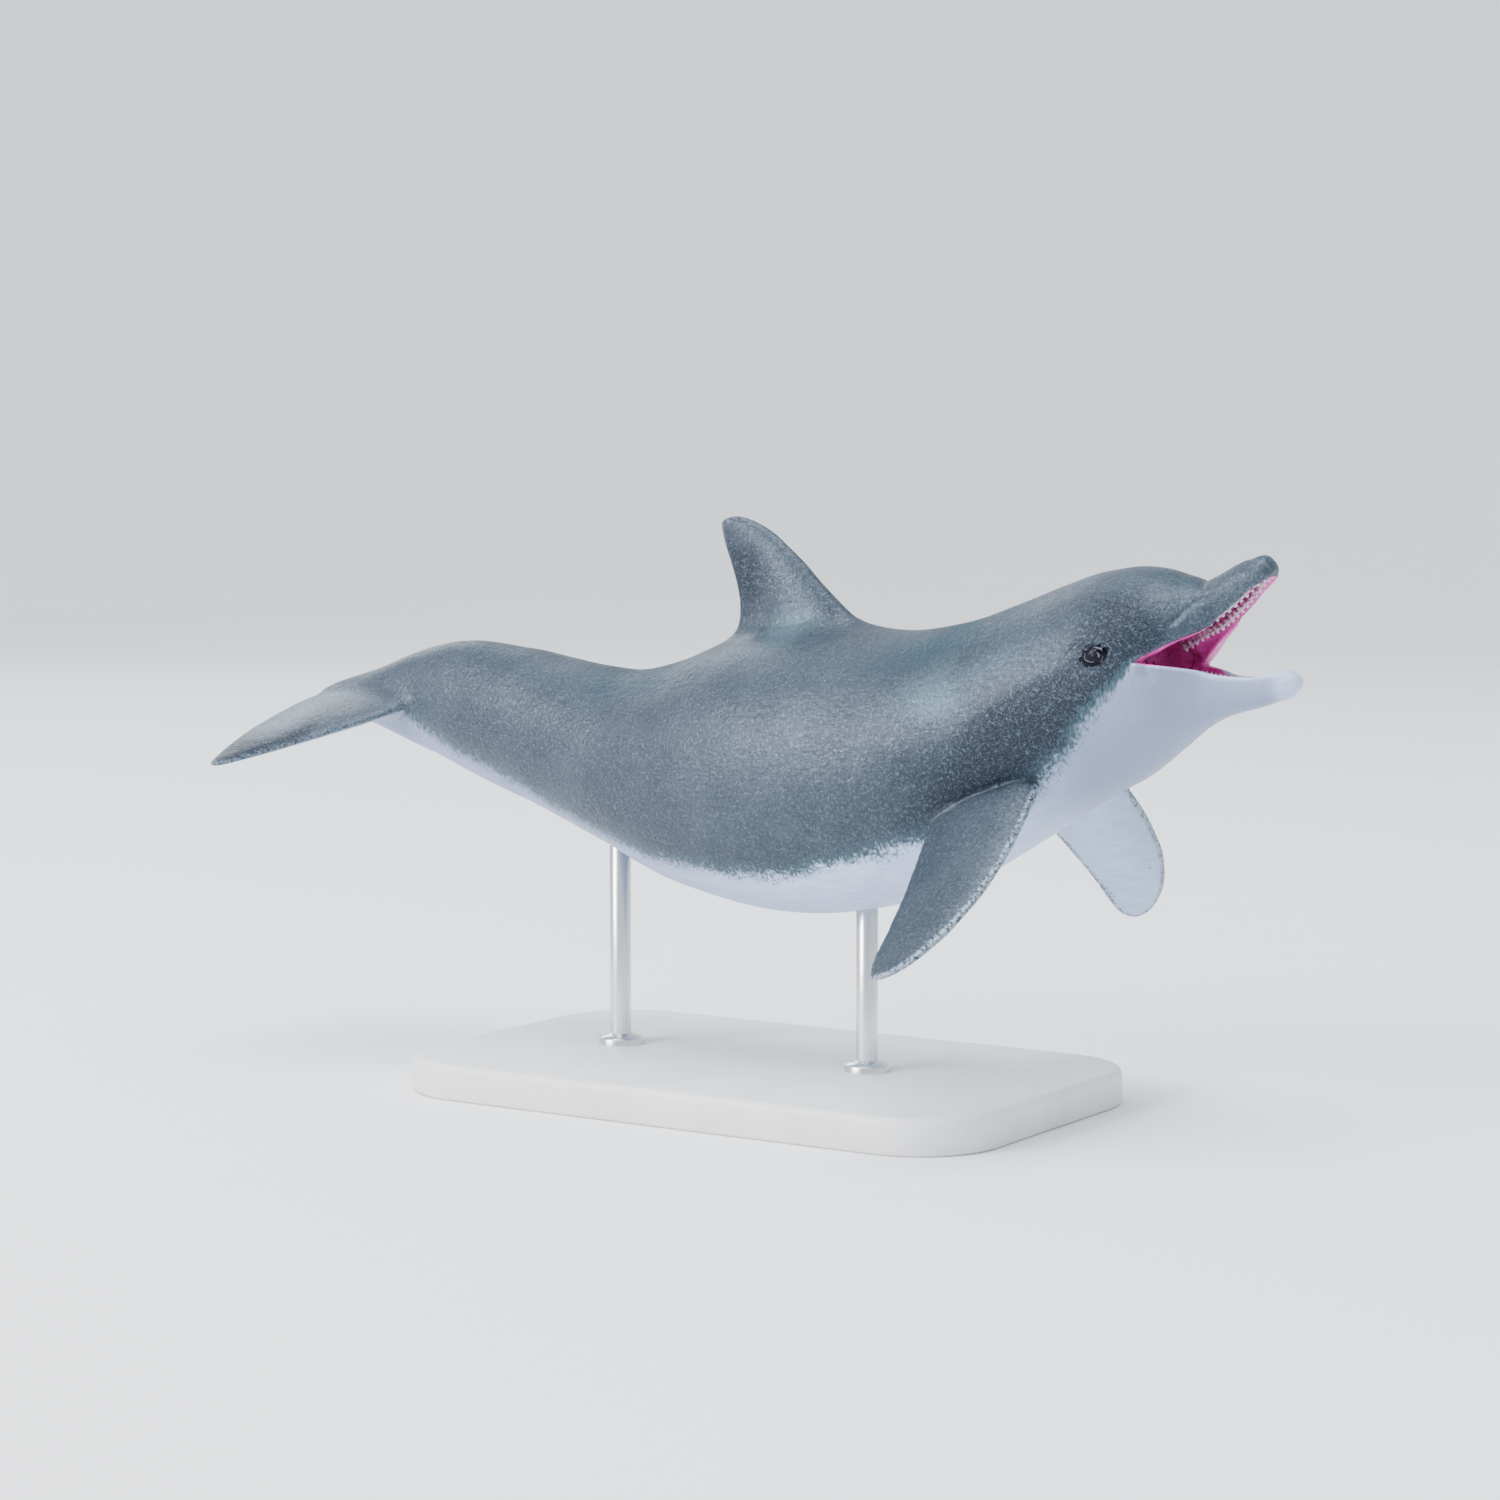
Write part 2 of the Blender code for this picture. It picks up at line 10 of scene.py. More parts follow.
import bmesh
import bpy
import numpy as np
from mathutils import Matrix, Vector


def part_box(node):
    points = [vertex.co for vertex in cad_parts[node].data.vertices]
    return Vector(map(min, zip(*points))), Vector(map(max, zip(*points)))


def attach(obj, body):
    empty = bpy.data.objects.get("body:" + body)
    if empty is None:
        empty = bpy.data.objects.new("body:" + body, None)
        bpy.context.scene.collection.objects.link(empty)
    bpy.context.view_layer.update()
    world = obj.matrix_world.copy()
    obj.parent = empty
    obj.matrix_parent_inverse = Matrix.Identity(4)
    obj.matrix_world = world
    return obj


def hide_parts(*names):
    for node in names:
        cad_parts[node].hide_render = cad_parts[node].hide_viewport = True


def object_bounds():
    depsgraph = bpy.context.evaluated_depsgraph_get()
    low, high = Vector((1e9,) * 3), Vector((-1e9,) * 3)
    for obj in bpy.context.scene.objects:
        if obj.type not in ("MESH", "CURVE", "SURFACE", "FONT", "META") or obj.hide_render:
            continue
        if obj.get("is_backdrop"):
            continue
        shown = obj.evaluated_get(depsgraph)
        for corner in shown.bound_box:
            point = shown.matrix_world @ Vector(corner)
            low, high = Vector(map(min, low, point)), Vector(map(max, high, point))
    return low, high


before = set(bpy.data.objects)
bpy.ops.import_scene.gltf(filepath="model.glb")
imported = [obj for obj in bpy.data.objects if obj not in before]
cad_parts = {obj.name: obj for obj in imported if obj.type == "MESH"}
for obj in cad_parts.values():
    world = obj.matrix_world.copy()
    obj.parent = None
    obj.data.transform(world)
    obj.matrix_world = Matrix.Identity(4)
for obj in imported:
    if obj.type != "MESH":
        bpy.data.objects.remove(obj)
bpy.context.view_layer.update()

import openvdb
from mathutils import Vector, noise

MM = 0.001


def new_object(name, data):
    """An object in the scene, at the origin and unscaled."""
    made = bpy.data.objects.new(name, data)
    bpy.context.scene.collection.objects.link(made)
    return made


# %% [markdown]
# ## The maker's own axes
# The figure was drawn in millimetres about a point in the middle of the chest, with the head
# towards +X.  Two things in the frame say where that point ended up: the front rod passes 19 mm
# in front of it, and the eyes lie 15.2 mm above it.  Everything below is drawn in those axes and
# moved to the frame at the end, so it follows the solids wherever they are.

# %% Find the figure's own origin
ROD_AHEAD, EYES_ABOVE = 19.0, 15.2


def box_middle(node):
    low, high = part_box(node)
    return (Vector(low) + Vector(high)) / 2 / MM


eyes = {side: box_middle(f"eye_{side}") for side in ("left", "right")}
origin = np.array([box_middle("stand_rod_front").x - ROD_AHEAD, 0.0,
                   (eyes["left"].z + eyes["right"].z) / 2 - EYES_ABOVE])
print("figure origin in the frame, mm:", origin.round(2))

# %% [markdown]
# ## Camera
# The figure is looked at from its right side, 33 degrees towards the head and 5 degrees from
# above, from half a metre away with a long lens, so the near flipper is barely larger than the
# far one.  The lens stays in focus everywhere.

# %% Place the camera
AZIMUTH, ELEVATION, DISTANCE = math.radians(33.0), math.radians(5.0), 490.0
towards_camera = Vector((math.sin(AZIMUTH) * math.cos(ELEVATION),
                         -math.cos(AZIMUTH) * math.cos(ELEVATION), math.sin(ELEVATION)))
camera = new_object("camera", bpy.data.cameras.new("camera"))
camera.data.lens, camera.data.sensor_width = 85.0, 36.0
camera.data.clip_start, camera.data.clip_end = 0.02, 20.0
camera.location = (Vector(origin) + towards_camera * DISTANCE) * MM
camera.rotation_euler = (-towards_camera).to_track_quat("-Z", "Y").to_euler()
bpy.context.scene.camera = camera
print("camera, mm from the figure:", DISTANCE)

# %% [markdown]
# ## Smooth curves through a few stations
# A body is described best by a handful of stations along its spine: the height of the middle
# line, how far the body reaches above and below it, and its half width.  A smooth curve through
# those rows gives as many rings as a mesh needs.

# %% Curves and rings
def slide(values, low, high):
    """0 at low, 1 at high, straight between."""
    return np.clip((values - low) / (high - low), 0.0, 1.0)


def smooth_track(keys, rows, at):
    """Smooth curve through rows of values, one row per key, read at the places given."""
    keys, rows, at = (np.asarray(v, float) for v in (keys, rows, at))
    step = np.diff(keys)
    slope = np.diff(rows, axis=0) / step[:, None]
    tangent = np.vstack([slope[:1], slope[:1].repeat(len(keys) - 2, 0), slope[-1:]])
    tangent[1:-1] = (slope[:-1] * step[1:, None] + slope[1:] * step[:-1, None]) \
        / (step[1:] + step[:-1])[:, None]
    i = np.clip(np.searchsorted(keys, at, side="right") - 1, 0, len(keys) - 2)
    s, h = ((at - keys[i]) / step[i])[:, None], step[i][:, None]
    return ((2 * s**3 - 3 * s**2 + 1) * rows[i] + (s**3 - 2 * s**2 + s) * h * tangent[i]
            + (3 * s**2 - 2 * s**3) * rows[i + 1] + (s**3 - s**2) * h * tangent[i + 1])


def bezier(points, at):
    """Bezier curve of any degree, by de Casteljau's halving."""
    level = [np.tile(np.asarray(p, float), (len(at), 1)) for p in points]
    t = np.asarray(at, float)[:, None]
    while len(level) > 1:
        level = [(1 - t) * a + t * b for a, b in zip(level[:-1], level[1:])]
    return level[0]


def loft(stations, rings, around, corner=(2.0, 2.0)):
    """Rings across a bent body; corner sets how square a ring is above and below the middle."""
    stations = np.asarray(stations, float)
    keys = np.concatenate([[0.0], np.cumsum(np.hypot(*np.diff(stations[:, :2], axis=0).T))])
    at = np.linspace(keys[0], keys[-1], rings)
    rows = smooth_track(keys, stations, at)
    ahead = smooth_track(keys, stations, np.minimum(at + 0.05, keys[-1]))
    behind = smooth_track(keys, stations, np.maximum(at - 0.05, keys[0]))
    along = (ahead - behind)[:, :2]
    along /= np.linalg.norm(along, axis=1)[:, None]
    turn = np.linspace(0.0, 2 * math.pi, around, endpoint=False)
    across, up = np.cos(turn), np.sin(turn)
    power = np.where(up > 0, corner[0], corner[1])
    reach = (np.abs(across)**power + np.abs(up)**power) ** (-1 / power)
    across, up = across * reach, up * reach
    height = np.where(up > 0, rows[:, 2:3], rows[:, 3:4]) * up
    grid = np.empty((rings, around, 3))
    grid[..., 0] = rows[:, 0:1] - along[:, 1:2] * height
    grid[..., 1] = -rows[:, 4:5] * across
    grid[..., 2] = rows[:, 1:2] + along[:, 0:1] * height
    return grid


def blade(front, back, thickness, root_swell, sections=160, around=96):
    """Aerofoil sections between a front and a back edge, rounded off at the tip."""
    t = 1 - (1 - np.linspace(0.0, 1.0, sections)) ** 1.6
    lead, trail = front(t), back(t)
    span = np.gradient((lead + trail) / 2, axis=0)
    normal = np.cross(lead - trail, span)
    normal /= np.linalg.norm(normal, axis=1)[:, None] + 1e-9
    turn = np.linspace(0.0, 2 * math.pi, around, endpoint=False)
    chord = 0.5 * (1 - np.cos(turn))
    aerofoil = 5 * (0.2969 * np.sqrt(chord) - 0.1260 * chord - 0.3516 * chord**2
                    + 0.2843 * chord**3 - 0.1036 * chord**4) * np.sign(np.sin(turn))
    profile = 0.6 * aerofoil + 0.2 * np.sin(turn)
    thick = thickness * (1 - t)**0.8 + 1.0 * np.sqrt(1 - t) + root_swell * np.exp(-t * 12)
    return (lead[:, None] * (1 - chord)[None, :, None] + trail[:, None] * chord[None, :, None]
            + normal[:, None] * (thick[:, None] * profile[None])[..., None])


# %% The body and the jaws: x, middle line, half height above and below it, half width
BODY = [
    (-72.0, 4.6, 1.2, 1.8, 1.8), (-65.0, 4.9, 4.1, 4.4, 3.2), (-58.0, 4.8, 7.1, 6.6, 4.1),
    (-50.0, 4.4, 9.3, 8.7, 5.7), (-40.0, 2.5, 10.7, 10.1, 7.7), (-30.0, 0.1, 11.5, 10.9, 9.5),
    (-20.0, -2.3, 13.1, 12.3, 11.5), (-10.0, -3.4, 15.9, 15.6, 13.9), (0.0, -3.1, 18.3, 18.3, 16.0),
    (10.0, -2.4, 19.3, 19.5, 17.0), (20.0, -1.4, 18.9, 18.9, 17.0), (30.0, 0.7, 17.3, 17.4, 16.2),
    (40.0, 4.3, 15.4, 15.2, 15.0), (49.0, 8.4, 14.3, 13.7, 13.8), (56.0, 11.8, 13.7, 13.2, 12.6),
    (62.0, 15.0, 12.6, 10.9, 11.2), (66.5, 17.6, 10.4, 7.0, 8.6), (69.6, 19.4, 7.4, 4.4, 5.8),
    (71.6, 20.6, 4.4, 2.2, 3.8), (72.6, 21.2, 1.0, 0.8, 1.0)]
UPPER_JAW = [
    (64.8, 17.4, 6.0, 2.0, 7.6), (68.8, 20.5, 4.7, 3.2, 5.1), (70.9, 21.8, 3.6, 3.0, 4.1),
    (73.0, 23.3, 3.1, 2.6, 3.4), (75.0, 24.8, 2.8, 2.2, 2.9), (76.6, 25.9, 2.4, 1.8, 2.5),
    (77.6, 26.8, 1.8, 1.3, 1.9), (78.15, 27.1, 1.1, 0.8, 1.2), (78.4, 27.25, 0.4, 0.3, 0.4)]
LOWER_JAW = [
    (60.0, 9.8, 4.5, 7.4, 9.4), (64.0, 10.6, 3.8, 6.4, 8.8), (68.0, 11.4, 2.8, 5.6, 6.3),
    (71.0, 11.8, 2.0, 4.7, 4.7), (74.0, 11.9, 1.7, 3.7, 3.6), (77.0, 12.0, 1.6, 2.9, 3.0),
    (79.6, 12.3, 1.8, 2.3, 2.65), (80.8, 12.4, 1.6, 2.1, 2.4),
    (81.6, 12.4, 1.2, 1.7, 1.95), (82.15, 12.3, 0.8, 1.2, 1.35), (82.5, 12.25, 0.3, 0.5, 0.6)]
body_rings = loft(BODY, 520, 200)
upper_jaw_rings = loft(UPPER_JAW, 120, 120, corner=(2.1, 3.2))
lower_jaw_rings = loft(LOWER_JAW, 120, 120, corner=(2.6, 2.1))
print("body girth rings:", len(body_rings))

# %% [markdown]
# ## Fins, flippers and flukes
# Each fin is a blade: an aerofoil section swept from its root to its rounded tip between two
# edge curves.  The flippers and the flukes are drawn flat and then turned into place, and the
# other side is the mirror image.

# %% Draw the blades
# The dorsal fin by x and height, the others by how far forward and outward they reach from their root.
DORSAL_FRONT = [(25.0, 15.5), (17.5, 16.6), (12.4, 20.6), (7.4, 30.0), (2.2, 33.2), (-3.9, 33.2),
                (-4.7, 31.3)]
DORSAL_BACK = [(-6.0, 12.5), (0.0, 16.0), (-0.9, 20.0), (-2.0, 24.0), (-3.6, 27.0), (-4.6, 29.2),
               (-4.7, 31.3)]
FLIPPER_FRONT = [(8.0, -4.0), (8.6, 4.0), (10.2, 14.0), (9.6, 21.0), (5.2, 29.0), (1.5, 32.0), (-1.5, 31.8)]
FLIPPER_BACK = [(-6.6, -4.0), (-6.6, 6.0), (-5.0, 14.0), (-2.2, 21.0), (-4.4, 27.0), (-4.2, 31.0),
                (-1.5, 31.8)]
FLUKE_FRONT = [(13.5, -1.0), (13.4, 5.0), (12.0, 12.0), (4.0, 17.5), (-1.0, 23.0), (-5.0, 25.4), (-7.0, 25.2)]
FLUKE_BACK = [(-4.4, -1.0), (-6.8, 2.5), (-7.8, 8.0), (-7.7, 14.0), (-8.2, 21.0), (-8.0, 24.4), (-7.0, 25.2)]


def placed(points, root, droop, pitch, bend=0.0):
    """A flat edge (forward, outward), drooped, pitched and bent down, as a curve in space."""
    tilt, nose = math.radians(droop), math.radians(pitch)

    def edge(at):
        forward, outward = bezier(points, at).T
        out = np.stack([np.zeros_like(outward), np.cos(tilt) * outward,
                        -np.sin(tilt) * outward - bend * outward * np.abs(outward)], axis=1)
        return np.array(root) + out + np.outer(forward, (math.cos(nose), 0.0, math.sin(nose)))
    return edge


def upright(points):
    return lambda at: np.insert(bezier(points, at), 1, 0.0, axis=1)


# Where the root is, how far the blade droops and pitches in degrees, and how it bends.
FLIPPER_PLACE = ((43.0, 11.0, -3.4), 40.0, 12.0)
FLUKE_PLACE = ((-70.0, 0.0, 5.1), 13.6, 0.0, 0.005)
dorsal_rings = blade(upright(DORSAL_FRONT), upright(DORSAL_BACK), 4.4, 3.0)
flipper_rings = blade(placed(FLIPPER_FRONT, *FLIPPER_PLACE), placed(FLIPPER_BACK, *FLIPPER_PLACE), 2.6, 1.6)
fluke_rings = blade(placed(FLUKE_FRONT, *FLUKE_PLACE), placed(FLUKE_BACK, *FLUKE_PLACE), 2.4, 1.6)
print("flipper reaches, mm:", flipper_rings.reshape(-1, 3).max(0).round(1))

# %% [markdown]
# ## Clay in a box of distances
# A mould maker models such a figure in clay, where the forms run into each other.  Here the clay
# is a box of small cells that each hold the distance to the nearest surface.  Two forms melt
# together by a soft minimum, a hollow is cut by a soft maximum, and both leave the rounded
# corners that clay has.  Blender's own OpenVDB turns meshes into distances and back.

# %% Cells and melting
CELL = 0.25                      # mm
BAND = 3.0                       # mm, distances are kept this far from a surface
BOX_LOW = np.array([-83.0, -37.5, -28.5])
BOX_HIGH = np.array([85.0, 37.5, 36.0])
box_start = np.floor(BOX_LOW / CELL).astype(int)
box_cells = np.ceil((BOX_HIGH - BOX_LOW) / CELL).astype(int)
cell_size = openvdb.createLinearTransform(voxelSize=CELL)


def distances(rings, mirror=False):
    """(slices, distances) of a closed tube of rings, inside negative, near that tube only."""
    points = rings * np.array([1.0, -1.0, 1.0]) if mirror else rings
    count, around = points.shape[:2]
    points = np.vstack([points.reshape(-1, 3), points[0].mean(0), points[-1].mean(0)])
    i, j = (v.ravel() for v in np.meshgrid(np.arange(count - 1), np.arange(around), indexing="ij"))
    k = (j + 1) % around
    quads = np.stack([i * around + j, i * around + k, (i + 1) * around + k, (i + 1) * around + j], 1)
    j, k = np.arange(around), (np.arange(around) + 1) % around
    last = (count - 1) * around
    caps = np.vstack([np.stack([k, j, np.full(around, count * around)], 1),
                      np.stack([last + j, last + k, np.full(around, count * around + 1)], 1)])
    if mirror:
        quads, caps = quads[:, ::-1], caps[:, ::-1]
    field = openvdb.FloatGrid.createLevelSetFromPolygons(
        points.astype(np.float32), triangles=np.ascontiguousarray(caps, dtype=np.uint32),
        quads=np.ascontiguousarray(quads, dtype=np.uint32), transform=cell_size,
        halfWidth=BAND / CELL)
    low = np.maximum(np.floor((points.min(0) - BAND) / CELL).astype(int), box_start)
    high = np.minimum(np.ceil((points.max(0) + BAND) / CELL).astype(int), box_start + box_cells)
    values = np.empty(high - low, np.float32)
    field.copyToArray(values, ijk=tuple(int(v) for v in low))
    return tuple(slice(a, b) for a, b in zip(low - box_start, high - box_start)), values


def melt(a, b, radius):
    """Union of two forms with a rounded inner corner."""
    share = np.maximum(radius - np.abs(a - b), 0.0)
    return np.minimum(a, b) - share * share / (4 * radius)


def carve(a, b, radius):
    """What is left of form a once form b is cut from it, with a rounded edge."""
    return -melt(-a, b, radius)


clay = np.full(box_cells, BAND, np.float32)
here, body_far = distances(body_rings)
clay[here] = body_far
print("cells, millions:", round(clay.size / 1e6, 1))

# %% [markdown]
# ## Joining the fins
# The dorsal fin runs into the back with a wide hollow curve.  The flippers stand off the chest
# with a tight crease on top, which is the curve where both distances are zero.

# %% Melt the fins into the body
# rings, whether they are mirrored, how wide the joint is melted, depth of the crease in mm
BLADES = [(dorsal_rings, False, 2.6, 0.0), (flipper_rings, False, 0.9, 0.45),
          (flipper_rings, True, 0.9, 0.45), (fluke_rings, False, 2.4, 0.0), (fluke_rings, True, 2.4, 0.0)]
CREASE_WIDTH = 0.45              # mm
CREASE_LOW, CREASE_HIGH = -4.5, -2.5                      # mm, the crease comes in between these heights
blade_fields = []
for rings, mirror, radius, crease in BLADES:
    here, far = distances(rings, mirror)
    trunk = clay[here]
    joined = melt(trunk, far, radius)
    if crease:
        height = (np.arange(here[2].start, here[2].stop) + box_start[2]) * CELL
        above = slide(height, CREASE_LOW, CREASE_HIGH)
        along = (np.arange(here[0].start, here[0].stop) + box_start[0])[:, None, None] * CELL
        crease *= above * (1.0 + 0.35 * np.sin(2.3 * along + 1.5 * np.sin(1.1 * along)))
        joined += (crease * np.exp(-(trunk**2 + far**2) / CREASE_WIDTH**2)).astype(np.float32)
    blade_fields.append((here, far, trunk.copy()))
    clay[here] = joined
print("blades joined:", len(BLADES))

# %% [markdown]
# ## Head
# Both jaws grow out of the head.  The line between the forehead and the beak, the fold at the
# corner of the mouth, the rims of the eyes and the blowhole are pressed into the clay with a
# thin tool: each is a line of points on the surface, and the clay gives way close to it.  Where
# the depth is below zero, the tool leaves a low ridge instead.

# %% Melt the jaws into the head
for rings, radius in ((upper_jaw_rings, 0.6), (lower_jaw_rings, 2.4)):
    here, far = distances(rings)
    clay[here] = melt(clay[here], far, radius)


def cell_grid(here):
    """Coordinates in mm of the cells of a part of the box, ready to broadcast."""
    axes = [(np.arange(s.start, s.stop) + box_start[k]) * CELL for k, s in enumerate(here)]
    return np.meshgrid(*axes, indexing="ij", sparse=True)


def press(points, depth, width):
    """Presses a groove along a line of points, mirrored to both sides; a ridge if depth < 0."""
    line = np.asarray(points, float)
    for side in (1.0, -1.0):
        route = line * np.array([1.0, side, 1.0])
        low = np.floor((route.min(0) - 3 * width) / CELL).astype(int) - box_start
        high = np.ceil((route.max(0) + 3 * width) / CELL).astype(int) - box_start
        here = tuple(slice(max(a, 0), min(b, n)) for a, b, n in zip(low, high, box_cells))
        x, y, z = cell_grid(here)
        nearest = np.full([s.stop - s.start for s in here], 1e9)
        for a, b in zip(route[:-1], route[1:]):
            run = b - a
            t = ((x - a[0]) * run[0] + (y - a[1]) * run[1] + (z - a[2]) * run[2]) / (run @ run)
            t = np.clip(t, 0.0, 1.0)
            nearest = np.minimum(nearest, (x - a[0] - t * run[0])**2
                                 + (y - a[1] - t * run[1])**2 + (z - a[2] - t * run[2])**2)
        clay[here] += (depth * np.exp(-nearest / width**2)).astype(np.float32)
        if not line[:, 1].any():
            break


def on_side(x, z):
    """The outermost point of the clay at a place of the side view."""
    column = clay[round(x / CELL) - box_start[0], :, round(z / CELL) - box_start[2]]
    return x, (np.flatnonzero(column < 0)[-1] + box_start[1] + 0.5) * CELL, z


# %% Press the lines of the head
FOREHEAD_LINE = [(69.2, 0.0, 24.8), (69.5, 2.0, 24.2), (69.7, 3.2, 23.3), (69.8, 4.0, 22.4)]
BEAK_LINE = [(67.8, 6.9, 19.3), (68.6, 5.8, 20.8), (69.6, 4.6, 22.0), (70.6, 3.7, 22.9), (72.2, 3.1, 23.6),
             (74.3, 2.5, 24.8)]
press(FOREHEAD_LINE, 0.16, 0.6)
press(BEAK_LINE[:4], 0.24, 0.26)
press(BEAK_LINE[3:], 0.14, 0.26)
press([(68.1, 7.0, 18.7), (69.2, 5.9, 20.2), (70.6, 4.7, 21.6), (72.4, 3.7, 22.8)], -0.08, 0.6)
corner_fold = [on_side(x, z) for x, z in ((65.3, 14.2), (65.4, 13.4), (65.8, 12.6), (66.1, 12.0))]
press(corner_fold[:3], 0.50, 0.26)
press(corner_fold[2:], 0.26, 0.26)
press([on_side(64.5, 13.9), on_side(64.4, 13.2)], -0.32, 0.50)
press([on_side(63.4, 14.0), on_side(63.2, 13.3), on_side(63.2, 12.5)], 0.26, 0.28)
press([(54.6, -1.6, 24.9), (54.0, 0.0, 25.2), (54.6, 1.6, 24.9)], 0.5, 0.3)

# %% Shape the lids round the eyes
EYE_TURN = math.radians(12.0)    # the eye's front end stands a little higher
EYE_HALF = (np.array(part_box("eye_right")[1]) - np.array(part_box("eye_right")[0])) / 2 / MM
eye_middle = np.array([eyes["left"].x - origin[0], (eyes["left"].y - eyes["right"].y) / 2, EYES_ABOVE])


def eye_ring(grow, start=0.0, stop=360.0):
    """Points round the eye, grown by so many of its own half sizes."""
    turn = np.radians(np.linspace(start, stop, 25))
    forward, rise = grow * EYE_HALF[0] * np.cos(turn), grow * EYE_HALF[2] * np.sin(turn)
    return np.stack([eye_middle[0] + forward * math.cos(EYE_TURN) - rise * math.sin(EYE_TURN),
                     np.full(25, eye_middle[1]) - 0.15 * np.cos(turn),
                     eye_middle[2] + forward * math.sin(EYE_TURN) + rise * math.cos(EYE_TURN)], axis=1)


press(eye_ring(0.94), 0.20, 0.24)
press(eye_ring(1.38, 15.0, 200.0), -0.08, 0.34)
press(eye_ring(1.80, 20.0, 165.0), 0.15, 0.24)
press(eye_ring(1.55, 215.0, 330.0), 0.12, 0.26)
press([(60.6, 10.6, 17.3), (61.6, 10.5, 16.6), (62.3, 10.4, 15.6)], 0.14, 0.22)
press([(57.0, 11.6, 17.2), (56.2, 11.9, 16.4), (55.7, 12.0, 15.4)], 0.12, 0.22)
print("eye half sizes, mm:", EYE_HALF.round(2), "eye at", eye_middle.round(2))

# %% [markdown]
# ## Mouth
# The gape is the space above the line of the lower lip and below the upper one, which rises at
# 38 degrees.  The roof, the trough of the lower jaw and the throat are lofted like the body.
# The corner on the left side lies a little further forward.  A copy of the clay from before the
# cut says later how deep in the mouth a point lies, which is where the magenta paint goes.

# %% Cut the mouth
MOUTH_CORNER, GAPE_TURN = (64.0, 14.2), math.radians(38.0)
LOWER_LIP = [MOUTH_CORNER, (68.7, 13.7), (75.0, 13.0), (78.0, 13.1), (80.2, 13.9), (86.0, 14.8)]
UPPER_LIP = [(50.0, 3.3), MOUTH_CORNER, (64.6, 14.75), (65.6, 15.4), (67.6, 16.75), (69.3, 17.7),
             (70.5, 18.4), (72.4, 20.0), (75.2, 22.6), (77.3, 24.8), (86.0, 31.6)]
PALATE = [(60.0, 12.5, 3.0, 2.0, 5.0), (66.0, 15.8, 2.4, 1.6, 6.2), (70.0, 18.9, 1.8, 1.4, 4.0),
          (74.0, 22.0, 1.4, 1.2, 2.6), (77.0, 24.4, 0.9, 0.8, 1.6), (77.9, 25.1, 0.3, 0.3, 0.5)]
TROUGH = [(60.0, 14.0, 2.0, 2.5, 5.0), (66.0, 14.0, 1.0, 2.6, 6.2), (70.0, 13.6, 0.8, 2.1, 4.0),
          (75.0, 13.1, 0.8, 1.5, 2.4), (78.6, 13.2, 0.6, 0.9, 1.6), (79.6, 13.4, 0.2, 0.2, 0.4)]
THROAT = [(57.0, 14.6, 0.3, 0.3, 0.8), (58.5, 14.6, 1.8, 1.8, 5.0), (62.5, 14.6, 2.6, 2.6, 7.6),
          (66.5, 14.6, 1.8, 1.8, 5.0), (68.0, 14.6, 0.3, 0.3, 0.8)]
TONGUE = [(62.0, 11.9, 0.9, 1.5, 3.0), (66.0, 11.7, 1.2, 1.5, 3.2), (70.0, 11.7, 1.0, 1.2, 2.5),
          (73.5, 11.9, 0.7, 0.9, 1.6), (75.2, 12.0, 0.3, 0.4, 0.7)]
LIP_ROUND, HOLLOW_ROUND = 0.5, 0.6                        # mm
FAR_CHEEK = 1.2                  # mm, the corner on the left side lies so much further forward
MOUTH_LOW, MOUTH_HIGH = (54.0, -13.0, 2.0), (85.0, 13.0, 34.0)     # mm, the part of the box it lies in


def upper_lip(x):
    keys, heights = np.array(UPPER_LIP).T
    return smooth_track(keys, heights[:, None], np.ravel(x))[:, 0].reshape(np.shape(x))


def lower_lip(x):
    return np.interp(x, *zip(*LOWER_LIP))


mouth_here = tuple(slice(int(a), int(b)) for a, b in zip(
    np.floor(np.array(MOUTH_LOW) / CELL) - box_start, np.ceil(np.array(MOUTH_HIGH) / CELL) - box_start))
uncut = clay[mouth_here].copy()
x, y, z = cell_grid(mouth_here)
cheek = FAR_CHEEK * slide(y, 0.0, 4.0) * slide(x, 69.5, 66.0)
gape = np.maximum(lower_lip(x) - z, (z - upper_lip(x - cheek)) * math.cos(GAPE_TURN))
clay[mouth_here] = carve(clay[mouth_here], gape.astype(np.float32), LIP_ROUND)
for stations in (PALATE, TROUGH, THROAT):
    here, far = distances(loft(stations, 80, 64))
    clay[here] = carve(clay[here], far, HOLLOW_ROUND)
here, far = distances(loft(TONGUE, 80, 64))
clay[here] = melt(clay[here], far, 0.5)
press([(64.0, 0.0, 12.9), (68.0, 0.0, 12.8), (72.0, 0.0, 12.6)], 0.25, 0.35)
for k, fold in enumerate(np.linspace(62.5, 67.0, 5)):
    press([(fold, 6.5, 15.6 - 0.2 * k), (fold + 0.7, 4.2, 16.8), (fold + 0.9, 1.5, 17.4)], 0.32, 0.32)
print("mouth cut, cells:", uncut.size)

# %% [markdown]
# ## From clay to mesh
# The clay becomes a fine mesh of squares.  A Decimate modifier thins the smooth trunk, where
# nobody would see it, and leaves the head alone.

# %% Mesh the clay
started = openvdb.FloatGrid(BAND)
started.transform = cell_size
started.copyFromArray(clay, ijk=tuple(int(v) for v in box_start))
points, squares = started.convertToQuads(0.0)
fine = bpy.data.meshes.new("skin_fine")
fine.from_pydata(points.astype(float).tolist(), [], squares.tolist())
fine.validate()
skin = new_object("skin", fine)
print("squares:", len(squares))

